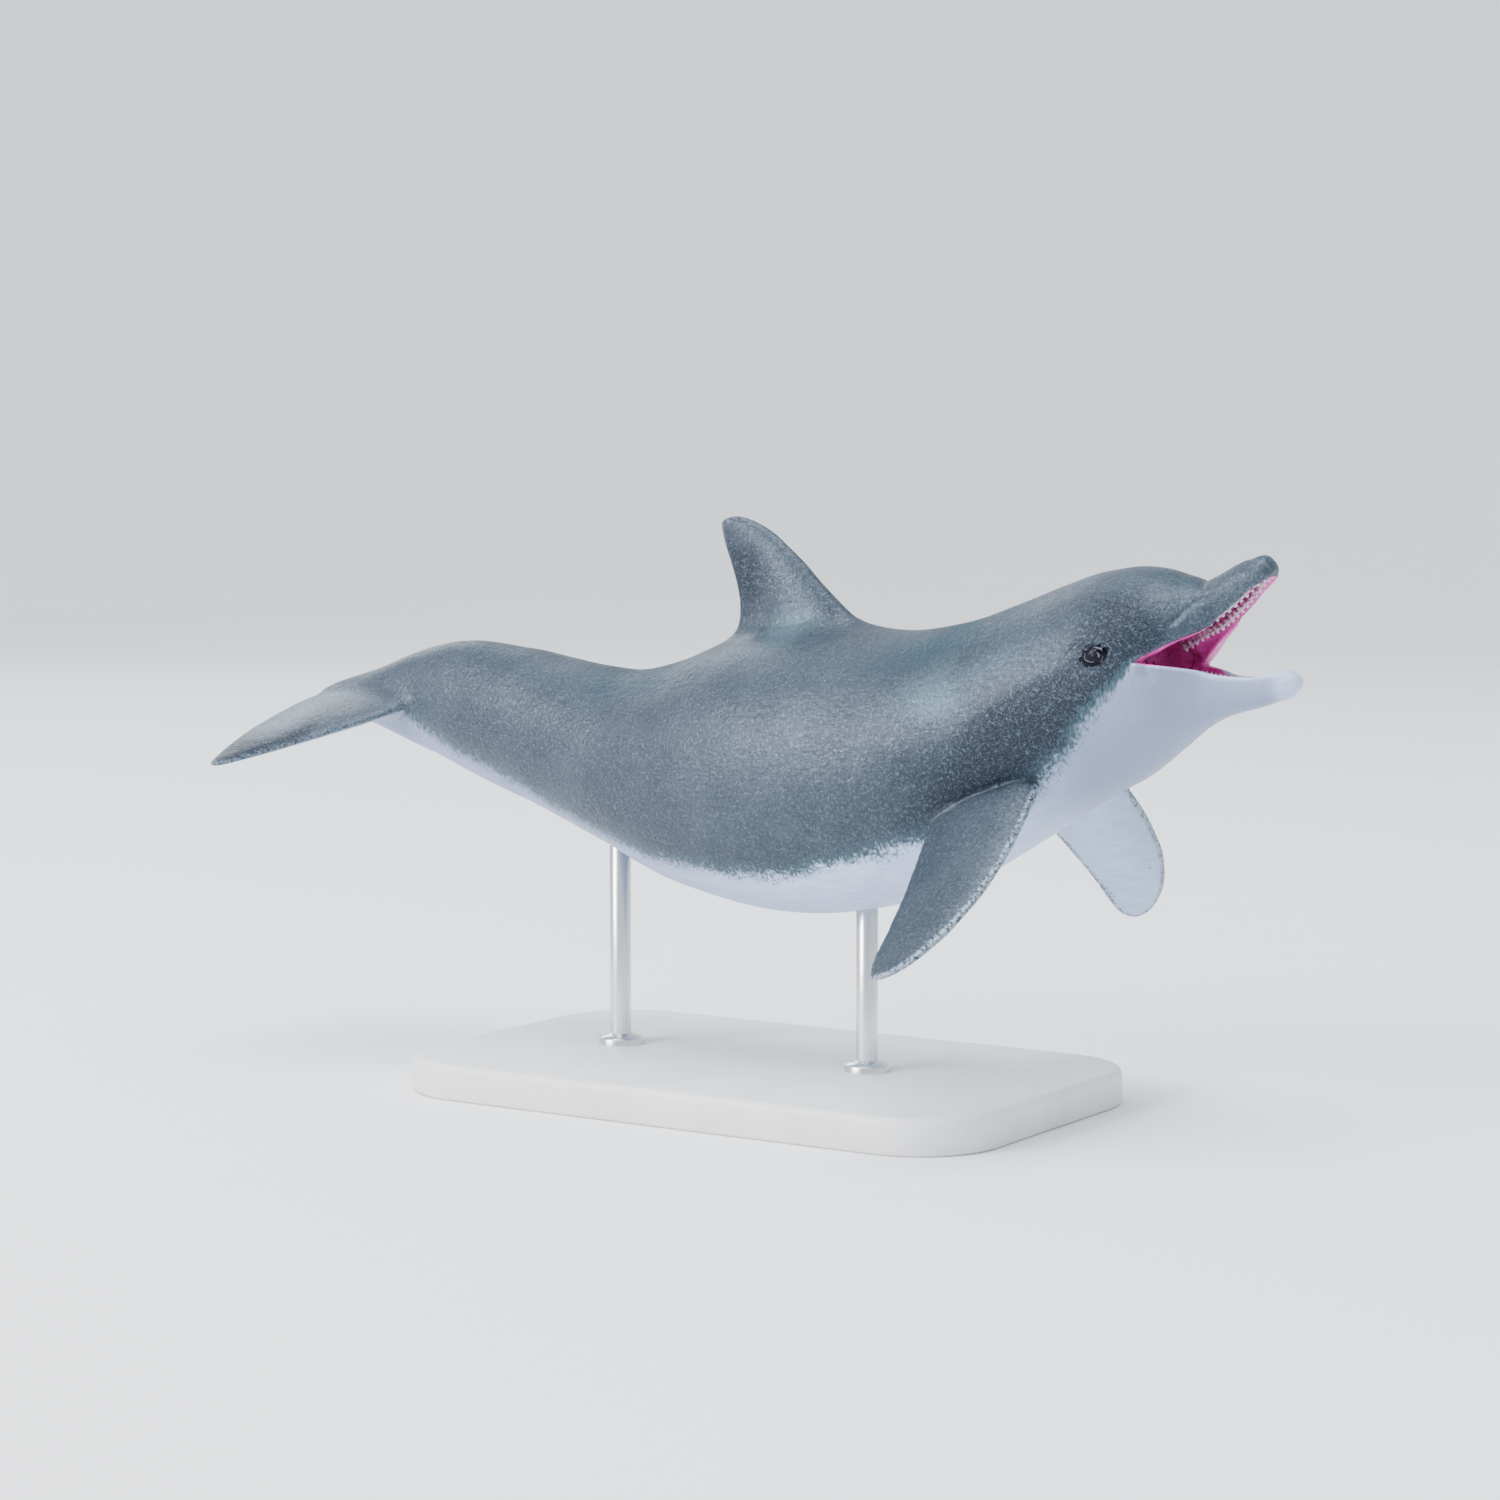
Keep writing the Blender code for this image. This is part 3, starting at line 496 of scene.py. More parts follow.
# %% Thin the trunk, keep the head
SKIN_TRIANGLES = 185000
HEAD_X, NECK_X = 60.0, 52.0
thin = skin.vertex_groups.new(name="thin")
share = slide(points[:, 0], HEAD_X, NECK_X).round(1)
for level in np.unique(share):
    thin.add(np.flatnonzero(share == level).tolist(), float(level), "REPLACE")
decimate = skin.modifiers.new("thin", "DECIMATE")
decimate.vertex_group = "thin"
decimate.vertex_group_factor = 1.0
decimate.ratio = SKIN_TRIANGLES / (2 * len(squares))
thinned = bpy.data.meshes.new_from_object(skin.evaluated_get(bpy.context.evaluated_depsgraph_get()))
skin.modifiers.clear()
skin.data = thinned
thinned.name = "skin"
at = np.empty(len(thinned.vertices) * 3, np.float32)
thinned.vertices.foreach_get("co", at)
at = at.reshape(-1, 3).astype(float)
x_at, y_at, z_at = at.T
thinned.calc_loop_triangles()
print("triangles:", len(thinned.loop_triangles), "of them on the head:",
      int((at[[t.vertices[0] for t in thinned.loop_triangles], 0] > HEAD_X).sum()))

# %% [markdown]
# ## Where each paint goes
# The grey was sprayed over a white casting.  Each point of the skin keeps a few numbers for the
# finish to read.  The first ones tell how far it is from the edge of the grey (in widths of the
# spray's soft edge), how deep in the mouth it lies and how far it is from the eye.  One more
# tells where the front edges of the flippers and flukes are worn.

# %% Work out the paint masks
PAINT_EDGE = [
    (-80.0, 5.4), (-66.0, 4.6), (-57.0, 2.4), (-50.8, -0.5), (-42.6, -3.2), (-34.8, -5.8), (-27.5, -8.9),
    (-20.3, -11.7), (-11.9, -13.6), (-4.4, -14.8), (3.0, -15.3), (9.5, -15.4), (16.1, -14.6),
    (22.5, -12.9), (28.5, -11.2), (34.4, -9.2), (40.0, -6.8), (47.0, -3.6), (51.0, -1.1), (55.9, 3.9),
    (58.9, 7.6), (61.6, 10.8), (64.2, 14.0), (66.0, 14.9), (70.0, 16.0), (85.0, 22.0)]    # x and height
BODY_FEATHER = [(50.0, 1.5), (60.0, 1.1), (64.0, 0.7), (66.0, 0.3)]                      # x and mm
BLADE_FEATHER = 0.28             # mm
DEEP = 4.0                       # so many widths from the edge the count stops


def read_cells(values, here, places, outside):
    """Values of a part of the box at places in mm, blended between its cells."""
    shape = np.array(values.shape)
    first = np.array([s.start for s in here])
    index = places / CELL - box_start - first
    near = np.all((index >= 0) & (index < shape - 1.001), axis=1)
    index = np.clip(index, 0, shape - 1.001)
    corner = np.floor(index).astype(int)
    part = index - corner
    total = np.zeros(len(places))
    for step in np.ndindex(2, 2, 2):
        weight = np.abs(1 - np.array(step) - part).prod(1)
        total += weight * values[tuple((corner + step).T)]
    return np.where(near, total, outside)


def above_blade(places, side, root, droop, pitch, bend=0.0):
    """Height of places over the middle plane of a drooped, pitched blade."""
    tilt, nose = math.radians(droop), math.radians(pitch)
    outward = (places[:, 1] * side - root[1]) / math.cos(tilt)
    plane = root[2] - math.sin(tilt) * outward - bend * outward * np.abs(outward) \
        + math.tan(nose) * (places[:, 0] - root[0])
    return (places[:, 2] - plane) * math.cos(tilt)


edge_x, edge_z = np.array(PAINT_EDGE).T
edge_height = smooth_track(edge_x, edge_z[:, None], x_at)[:, 0]
steep = np.interp(x_at, edge_x, np.gradient(edge_z, edge_x))
paint = (z_at - edge_height) / np.sqrt(1 + steep**2)
paint = np.clip(paint / np.interp(x_at, *zip(*BODY_FEATHER)), -DEEP, DEEP)

RIM_DROP = 0.22                  # mm, the grey of a fin's upper side runs over its rim by this
blade_sides = [None] + [(side, *place) for place in (FLIPPER_PLACE, FLUKE_PLACE) for side in (1.0, -1.0)]
on_fin = np.zeros(len(at))
for (here, far, trunk), place in zip(blade_fields, blade_sides):
    nearer = read_cells(trunk, here, at, 0.0) - read_cells(far, here, at, 9.0)
    on_blade = slide(nearer, -0.16, 0.64)
    on_fin = np.maximum(on_fin, on_blade)
    above = (above_blade(at, *place) + RIM_DROP) / BLADE_FEATHER if place else DEEP
    paint += on_blade * (np.clip(above, -DEEP, DEEP) - paint)
print("grey share of the points:", round(float((paint > 0).mean()), 2))

# %% Mouth, eyes and worn edges
folded = np.stack([x_at, np.abs(y_at), z_at], axis=1)     # the right side laid over the left
in_mouth = -read_cells(uncut, mouth_here, at, 0.0)
# The lower lip keeps the casting's colours on its edge, and so does the upper one on the right.
over_lip = z_at - lower_lip(x_at)
in_mouth -= 0.5 * slide(x_at, 65.8, 67.3) * slide(over_lip, -1.0, -0.4) * (over_lip < 0.4)
in_mouth -= 0.28 * ((y_at < 0.0) & (x_at > 63.0) & (z_at > upper_lip(x_at) - 0.9))
TOUCH, TOUCH_SPREAD = (63.7, 10.5, 13.9), 0.30            # mm, a dab of magenta by each corner
in_mouth += 0.26 * np.exp(-((folded - TOUCH)**2).sum(1) / TOUCH_SPREAD)
forward, rise = x_at - eye_middle[0], z_at - eye_middle[2]
eye_far = np.hypot((forward * math.cos(EYE_TURN) + rise * math.sin(EYE_TURN)) / EYE_HALF[0],
                   (rise * math.cos(EYE_TURN) - forward * math.sin(EYE_TURN)) / EYE_HALF[2])
eye_far[(np.abs(y_at) < 7.0) | (in_mouth > 0.1)] = 9.0

RIM_WIDTH = 0.75                 # mm, the worn strip along a fin's front edge
fin_points = np.flatnonzero(on_fin > 0.3)
rim = np.zeros(len(at))
for edge, wear in ((placed(FLIPPER_FRONT, *FLIPPER_PLACE), 1.0), (placed(FLUKE_FRONT, *FLUKE_PLACE), 0.3)):
    nearest = np.full(len(fin_points), 1e9)
    for point in edge(np.linspace(0.08, 1.0, 120)):
        nearest = np.minimum(nearest, ((folded[fin_points] - point)**2).sum(1))
    rim[fin_points] = np.maximum(rim[fin_points], wear * np.exp(-nearest / RIM_WIDTH**2))
print("points on a worn edge:", int((rim > 0.5).sum()))

# %% How hollow the surface is
edge_pairs = np.empty(len(thinned.edges) * 2, np.int32)
thinned.edges.foreach_get("vertices", edge_pairs)
edge_pairs = edge_pairs.reshape(-1, 2)
normals = np.empty(len(at) * 3, np.float32)
thinned.vertices.foreach_get("normal", normals)
normals = normals.reshape(-1, 3).astype(float)


def spread(values):
    """Mean of each point's neighbours."""
    total = np.zeros_like(values)
    count = np.zeros(len(values))
    for a, b in (edge_pairs.T, edge_pairs.T[::-1]):
        np.add.at(total, a, values[b])
        np.add.at(count, a, 1.0)
    return total / np.maximum(count, 1.0).reshape((-1,) + (1,) * (values.ndim - 1))


smooth_at = at.copy()
for _ in range(4):
    smooth_at = spread(smooth_at)
hollow = spread(spread(((smooth_at - at) * normals).sum(1)))
print("deepest hollow, mm:", round(float(hollow.max()), 3))

# %% [markdown]
# ## Painted light and shade on the greys
# Painted shade darkens the sides of the chest and the head, the back of the dorsal fin and parts
# of the flukes; painted highlights lighten the top of the back, a band along the shoulders, other
# parts of the flukes and a few spots.  The two saddles of the back get a darker bluish grey of
# painted shade and shine less.  The white under the tail and the chin gets painted shade.  All of
# it depends on where a point is and which way it faces.

# %% Where the painted light and shade go
# Painted shade on the back of the dorsal fin, and painted highlights at a few spots.
DORSAL_SHADE = (-1.0, 24.0, 6.0)                          # x, z and radius, mm
PAINTED_HIGHLIGHTS = [(8.0, 17.5, 4.5, 0.9), (66.5, 22.0, 3.5, 0.7), (38.0, 9.0, 6.0, 0.9),
               (77.5, 27.5, 2.0, 0.4)]                    # x, z, radius and strength
# Painted shade, with less shine, on top of the figure along these spans:
TOP_SHADE_SPANS = [(37.0, 12.0, 1.0), (-13.0, 12.0, 1.0), (-42.0, 14.0, 0.3),
               (68.0, 8.0, 0.4)]                          # x, reach and strength
FLUKE_REACH = [(0.0, 13.4), (5.0, 13.0), (12.0, 10.0), (17.5, 4.0), (23.0, -1.0), (25.4, -5.0)]
FLUKE_DEPTH = 7.6                # mm, the flukes' rear edge lies so far behind their root


def ramp(values, low, high):
    """0 below low, 1 above high, smooth between."""
    share = slide(values, low, high)
    return share * share * (3 - 2 * share)


def bell(values, middle, width):
    return np.exp(-((values - middle) / width)**2)


def patch(x, z, radius):
    """1 at a place on either side of the figure, fading out over a radius in mm."""
    return bell(x_at, x, radius) * bell(z_at, z, radius)


facing_up, outward, off_fin = normals[:, 2], np.abs(y_at), 1.0 - on_fin
on_fluke = ramp(-x_at, 64.0, 67.0) * ramp(outward, 1.5, 4.5)
front_edge = np.interp(outward, *zip(*FLUKE_REACH))
chord = (x_at - FLUKE_PLACE[0][0] + FLUKE_DEPTH) / (front_edge + FLUKE_DEPTH)     # 0 at the rear, 1 in front

# Painted shade: the sides of the chest and the head, the back of the dorsal fin, parts of the flukes.
painted_shade = ramp(x_at, 20.0, 46.0) * (1.0 - ramp(x_at, 66.0, 70.0)) * ramp(np.abs(normals[:, 1]), 0.35, 0.85)
painted_shade *= off_fin * (1.0 - 0.9 * ramp(facing_up, 0.06, 0.38) * (1.0 - ramp(x_at, 53.0, 60.0)))
painted_shade = np.maximum(painted_shade, patch(*DORSAL_SHADE))
painted_shade = np.maximum(painted_shade, on_fluke * np.maximum(ramp(chord, 0.5, 0.85), ramp(outward, 15.0, 22.0)))

# Painted light: the top of the back, the middle of the flukes, a highlight band on the shoulders and the
# highlight spots.
painted_light = 0.25 * ramp(facing_up, 0.45, 0.95) * ramp(np.abs(x_at + 14.0), 4.0, 26.0)
painted_light *= (1.0 - 0.9 * bell(x_at, 35.0, 12.0)) * (1.0 - on_fluke)
painted_light = np.maximum(painted_light, on_fluke * bell(chord, 0.30, 0.24) * (1.0 - ramp(outward, 14.0, 21.0)))
painted_light = np.maximum(painted_light, 0.7 * off_fin * bell(facing_up, 0.45, 0.17) * bell(x_at, 41.0, 13.0))
painted_light *= 1.0 - 0.8 * ramp(x_at, 66.0, 70.0)
for *place, strength in PAINTED_HIGHLIGHTS:
    painted_light = np.maximum(painted_light, strength * patch(*place))
painted_light_shade = np.clip(painted_light - painted_shade, -1.0, 1.0)

# Painted shade on top of the back; the same share also dulls the paint there.
dull_top_shade = np.max([strength * bell(x_at, x, reach) for x, reach, strength in TOP_SHADE_SPANS], axis=0)
dull_top_shade *= off_fin * ramp(facing_up, 0.55, 0.82)
# Painted shade on the white under the chin and the tail.
underside_shade = ramp(-facing_up, -0.90, -0.05) * np.maximum(ramp(x_at, 44.0, 58.0), ramp(-x_at, -22.0, 34.0))
underside_shade *= 1.0 - ramp(x_at, 78.5, 82.0)
print("darkest and lightest tone:", painted_light_shade.min().round(2), painted_light_shade.max().round(2))

# %% [markdown]
# ## Put the skin in place
# The head is rolled a few degrees to its left, which comes in gradually behind the eyes.  A slow
# unevenness of under a tenth of a millimetre, as hand-worked clay has, keeps the highlights from
# looking machined.

# %% Roll the head and move to the frame
HEAD_ROLL, ROLL_START, ROLL_END = math.radians(3.5), 51.0, 66.0


def to_frame(places):
    """Rolls points about the head's middle line by their share of the roll, and places them."""
    made = np.array(places, float)
    turn = HEAD_ROLL * ramp(made[:, 0], ROLL_START, ROLL_END)
    across, height = made[:, 1].copy(), made[:, 2] - MOUTH_CORNER[1]
    made[:, 1] = across * np.cos(turn) + height * np.sin(turn)
    made[:, 2] = height * np.cos(turn) - across * np.sin(turn) + MOUTH_CORNER[1]
    return (made + origin) * MM


WAVE, WAVE_DEPTH = 5.0, 0.10     # mm
wave = np.array([noise.noise(Vector(p) / WAVE) for p in at])
wave *= np.clip((paint + DEEP) / DEEP, 0.35, 1.0) * (in_mouth < 0.2)
in_place = to_frame(at + normals * (wave * WAVE_DEPTH)[:, None])
thinned.vertices.foreach_set("co", in_place.astype(np.float32).ravel())
for name, values in {"paint": paint, "in_mouth": in_mouth, "eye_far": eye_far, "hollow": hollow, "painted_light_shade": painted_light_shade,
                     "dull_top_shade": dull_top_shade, "underside_shade": underside_shade, "rim": rim}.items():
    thinned.attributes.new(name, "FLOAT", "POINT").data.foreach_set("value", values.astype(np.float32))
thinned.shade_smooth()
thinned.update()
FLESH = [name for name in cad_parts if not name.startswith(("eye_", "stand_"))]
print("the skin stands for", len(FLESH), "solids")

# %% [markdown]
# ## Mixing finishes
# A finish is a small tree of shader nodes.  A few helpers keep the recipes short: they add a
# node to the tree on the bench, lay coats of colour over each other, and turn a soft threshold
# on a number into a mask.  All patterns are set in the figure's own space, so they stay put
# when it is seen from elsewhere.

# %% Helpers for finishes
class Bench:
    """Holds the tree that is being worked on; new nodes go into it."""
    tree = None


def add(kind, inputs=None, **settings):
    """Adds a node: sockets among its inputs are linked, other values are set."""
    made = Bench.tree.nodes.new(kind)
    for key, value in settings.items():
        setattr(made, key, value)
    for key, value in (inputs or {}).items():
        if isinstance(value, bpy.types.NodeSocket):
            Bench.tree.links.new(value, made.inputs[key])
        else:
            made.inputs[key].default_value = value
    return made


def flow(kind, inputs=None, **settings):
    """Adds a node and gives its first output."""
    return add(kind, inputs, **settings).outputs[0]


def coats(colour, *layers):
    """Lays colours over a first one: pairs of a share and a colour."""
    def full(tint):
        return (*tint, 1.0) if isinstance(tint, tuple) else tint
    for share, layer in layers:
        inputs = {0: share, 6: full(colour), 7: full(layer)}
        colour = add("ShaderNodeMix", inputs, data_type="RGBA").outputs[2]
    return colour


def mask(value, low, high):
    """0 at low, 1 at high, smooth between."""
    inputs = {"Value": value, "From Min": low, "From Max": high}
    return flow("ShaderNodeMapRange", inputs, interpolation_type="SMOOTHSTEP")


def maths(operation, *values):
    return flow("ShaderNodeMath", dict(enumerate(values)), operation=operation)


def product(value, *others):
    for other in others:
        value = maths("MULTIPLY", value, other)
    return value


def line_of(value, slope, start):
    """slope * value + start"""
    return maths("MULTIPLY_ADD", value, slope, start)


def grain(size, detail=2.0, stretch=(1.0, 1.0, 1.0), roughness=0.5):
    """Cloudy noise from 0 to 1 whose blotches are about so many mm across."""
    place = add("ShaderNodeTexCoord").outputs["Object"]
    place = flow("ShaderNodeMapping", {"Vector": place, "Scale": stretch})
    inputs = {"Vector": place, "Scale": 1.0 / (size * MM), "Detail": detail, "Roughness": roughness}
    return add("ShaderNodeTexNoise", inputs).outputs["Fac"]


def uneven(value, noise_value, reach):
    """A value pushed up and down by noise, half of reach either way."""
    return line_of(maths("SUBTRACT", noise_value, 0.5), reach, value)


def number(name):
    return add("ShaderNodeAttribute", attribute_name=name, attribute_type="GEOMETRY").outputs["Fac"]


def finish(name, **constants):
    """A new material, put on the bench, and its shader with its plain numbers set."""
    material = bpy.data.materials.new(name)
    material.use_nodes = True
    Bench.tree = material.node_tree
    shader = Bench.tree.nodes["Principled BSDF"]
    for key, value in constants.items():
        shader.inputs[key.replace("_", " ")].default_value = value
    return material, shader


def plug(shader, **sources):
    for key, value in sources.items():
        Bench.tree.links.new(value, shader.inputs[key.replace("_", " ")])


def bumped(shader, *layers):
    """Stacks bumps on a shader: pairs of height and depth in mm."""
    inputs = {"Strength": 1.0}
    for height, depth in layers:
        inputs.update({"Height": height, "Distance": depth * MM})
        inputs["Normal"] = flow("ShaderNodeBump", inputs)
    plug(shader, Normal=inputs["Normal"])


# %% [markdown]
# ## The painted skin
# Slate grey paint with a fine metallic grain lies on the back.  Near its edge the spray thins
# out into teal specks over the white.  Raised edges were dry-brushed, and painted shade darkens
# the creases.  The greys also carry the painted light and shade set up above, and the white its
# painted shade underneath.  The mouth was brushed magenta, a little over the lips, with painted
# shade in its folds.  The dab of gloss black on each eye runs unevenly over its rim.

# %% Paints
SLATE, SLATE_LIGHT, TEAL = (0.030, 0.042, 0.060), (0.042, 0.059, 0.081), (0.050, 0.088, 0.112)
# This line holds the painted shade and the painted light of the grey, and the painted shade on top of the
# back.
SLATE_SHADED, SLATE_LIT, TOP_SHADE = (0.014, 0.020, 0.031), (0.062, 0.105, 0.136), (0.012, 0.036, 0.056)
# The last colour here is painted shade for the white underneath.
WHITE, WHITE_SHADE, UNDERSIDE_SHADE = (0.50, 0.60, 0.82), (0.43, 0.52, 0.74), (0.22, 0.265, 0.395)
SPARKLE, FLECK, GAP = (0.22, 0.29, 0.36), (0.17, 0.225, 0.285), (0.012, 0.018, 0.027)
SCUFF, PIT = (0.27, 0.35, 0.43), (0.015, 0.02, 0.03)
# The second colour here is painted shade for the creases.
DRY_BRUSH, CREASE_SHADE = (0.26, 0.33, 0.42), (0.022, 0.030, 0.042)
MAGENTA, MAGENTA_LIGHT = (0.66, 0.070, 0.370), (0.84, 0.150, 0.540)
# The first colour here is painted shade for the folds of the mouth.
MAGENTA_FOLD_SHADE, MAGENTA_STREAK, BLACK = (0.15, 0.006, 0.080), (0.32, 0.008, 0.140), (0.004, 0.004, 0.007)

# %% Mix the skin's finish
skin_finish, shader = finish("painted_plastic")
spray = uneven(number("paint"), grain(4.5, 3.0), 1.8)
spray = uneven(spray, grain(0.40, 3.0, stretch=(1.0, 1.0, 0.5)), 3.2)
worn_rim, hollows, dull_top_shade_share = number("rim"), number("hollow"), number("dull_top_shade")
over_rim = product(mask(worn_rim, 0.25, 0.6), mask(grain(1.1, 3.0), 0.42, 0.56))
grey_share = maths("MAXIMUM", mask(spray, -0.95, 0.45), over_rim)

sparkle = mask(grain(0.17, 2.0, roughness=0.6), 0.52, 0.72)
# The painted light and shade, made uneven, lighten and darken the grey.
mottled_light_shade = uneven(number("painted_light_shade"), grain(3.0, 4.0, roughness=0.6), 0.7)
flecks = grain(0.42, 3.0, roughness=0.7)
# The last coat of the grey is painted shade on top of the back.
slate = coats(SLATE, (mask(grain(9.0, 4.0), 0.35, 0.7), SLATE_LIGHT),
              (mask(mottled_light_shade, 0.05, 1.0), SLATE_LIT), (mask(mottled_light_shade, -0.05, -0.95), SLATE_SHADED),
              (product(sparkle, 0.30), SPARKLE),
              (product(mask(flecks, 0.52, 0.70), 0.34), FLECK),
              (product(mask(flecks, 0.47, 0.32), 0.45), GAP),
              (product(dull_top_shade_share, 0.9), TOP_SHADE))
grey = coats(TEAL, (mask(spray, 0.0, 1.5), slate))
strokes = mask(grain(1.2, 3.0, stretch=(0.3, 1.0, 1.0)), 0.35, 0.7)
# The second coat of the white is painted shade under the chin and the tail.
white = coats(WHITE, (strokes, WHITE_SHADE), (number("underside_shade"), UNDERSIDE_SHADE))

scuffs = product(mask(worn_rim, 0.15, 0.6),
                 mask(grain(0.42, 3.0, roughness=0.6), 0.40, 0.58))
raised = product(mask(hollows, -0.040, -0.100), grey_share,
                 mask(grain(0.35, 3.0), 0.42, 0.60), 0.3)
# Painted shade in the creases and hollows.
hollow_shade = mask(hollows, 0.015, 0.09)
crease_shade = product(hollow_shade, line_of(grey_share, 0.5, 0.15))

# Painted shade darkens the magenta in the mouth's folds.
magenta = coats(MAGENTA, (mask(grain(1.6, 4.0), 0.4, 0.75), MAGENTA_LIGHT),
                (product(hollow_shade, 0.55), MAGENTA_FOLD_SHADE),
                (mask(grain(0.9, 3.0, stretch=(1.0, 0.6, 0.3)), 0.60, 0.68), MAGENTA_STREAK))
magenta_share = mask(uneven(number("in_mouth"), grain(0.7, 3.0), 0.35), 0.16, 0.24)
black_share = mask(uneven(number("eye_far"), grain(0.8, 2.0), 1.0), 1.04, 0.98)
colour = coats(white, (grey_share, grey), (scuffs, SCUFF),
               (mask(grain(0.9, 1.0), 0.80, 0.83), PIT), (raised, DRY_BRUSH), (crease_shade, CREASE_SHADE),
               (magenta_share, magenta), (black_share, BLACK))

# %% Give it its sheen
bare = line_of(maths("MAXIMUM", magenta_share, black_share), -1.0, 1.0)
# Where the painted shade is deepest, the paint also shines less.
deepest_painted_shade = mask(number("painted_light_shade"), -0.1, -0.8)
# The paint shines less on the shaded top.
shine = product(line_of(dull_top_shade_share, -0.8, 1.0), line_of(deepest_painted_shade, -0.5, 1.0))
metal = product(grey_share, bare, line_of(sparkle, 0.5, 0.28), shine)
satin = flow("ShaderNodeMapRange", {"Value": grain(0.6, 3.0), "From Min": 0.3, "From Max": 0.7,
                                    "To Min": 0.34, "To Max": 0.50})
plug(shader, Base_Color=colour, Metallic=metal, Roughness=line_of(black_share, -0.08, satin),
     Specular_IOR_Level=product(line_of(black_share, -0.22, 0.30), shine))
bumped(shader, (grain(0.75, 3.0, roughness=0.65), 0.15),
       (grain(1.2, 3.0, stretch=(0.35, 1.0, 1.6)), 0.08),
       (product(grain(0.7, 3.0), mask(worn_rim, 0.1, 0.9)), 0.35))

skin.data.materials.append(skin_finish)
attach(skin, "root")
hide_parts(*FLESH)
print("nodes in the skin's finish:", len(Bench.tree.nodes))


def add_piece(mesh, material, slot, *solids):
    """A piece that rides on the figure; it stands for the solids named, if any."""
    mesh.materials.append(material)
    piece = new_object(mesh.name, mesh)
    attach(piece, "root")
    if solids:
        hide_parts(*solids)


def to_mesh(name, mesh_data):
    """A smooth mesh of what was built."""
    mesh = bpy.data.meshes.new(name)
    mesh_data.to_mesh(mesh)
    mesh_data.free()
    mesh.shade_smooth()
    return mesh


# %% [markdown]
# ## Teeth
# Each jaw has a row of small teeth on either side, moulded as one ridge.  They repeat along a
# line, so Geometry Nodes set them: the line of the tips is resampled at the tooth pitch, a
# small tapered peg ends at every point, each turned and sized a little differently, and a thin
# ridge behind the tips joins them.

# %% Tip lines
# x, how far a row stands from the middle, how far its tips stay back from the lip's height, in mm
UPPER_ROW = [(65.0, 4.6, 0.9), (68.0, 3.7, 0.65), (70.0, 2.95, 0.4), (72.0, 2.35, 0.15), (74.0, 1.8, 0.1),
             (76.0, 1.25, 0.1), (77.4, 0.7, 0.1)]
LOWER_ROW = [(66.4, 5.0, 0.5), (70.0, 3.2, 0.45), (75.0, 1.8, 0.4), (78.8, 1.0, 0.4)]
SPLAY = 0.12                     # how far the teeth lean outward


def tip_line(row, upper, side):
    """Where the tips of a row of teeth lie, and which way the teeth point."""
    keys, apart, back = np.array(row).T
    x = np.linspace(keys[0], keys[-1], 40)
    height = upper_lip(x) if upper else lower_lip(x)
    turn = GAPE_TURN if upper else 0.0
    lean = np.array([math.sin(turn), 0.0, -math.cos(turn)]) * (1.0 if upper else -1.0)
    tips = np.stack([x, side * np.interp(x, keys, apart), height], axis=1)
    return tips - lean * np.interp(x, keys, back)[:, None], lean + np.array([0.0, SPLAY * side, 0.0])


# %% The tree that sets teeth along a line
TOOTH_PITCH, TOOTH_WIDTH, BACK_TOOTH, FRONT_TOOTH = 0.92, 0.52, 2.0, 1.2      # mm
RAIL, RAIL_BACK = 0.17, 0.50     # mm, the ridge between the teeth: its radius, its way back from the tips
TOOTH_INPUTS = {"Geometry": "Geometry", "Pitch": "Float", "Back Height": "Float", "Front Height": "Float",
                "Width": "Float", "Lean": "Vector", "Seed": "Int", "Finish": "Material"}


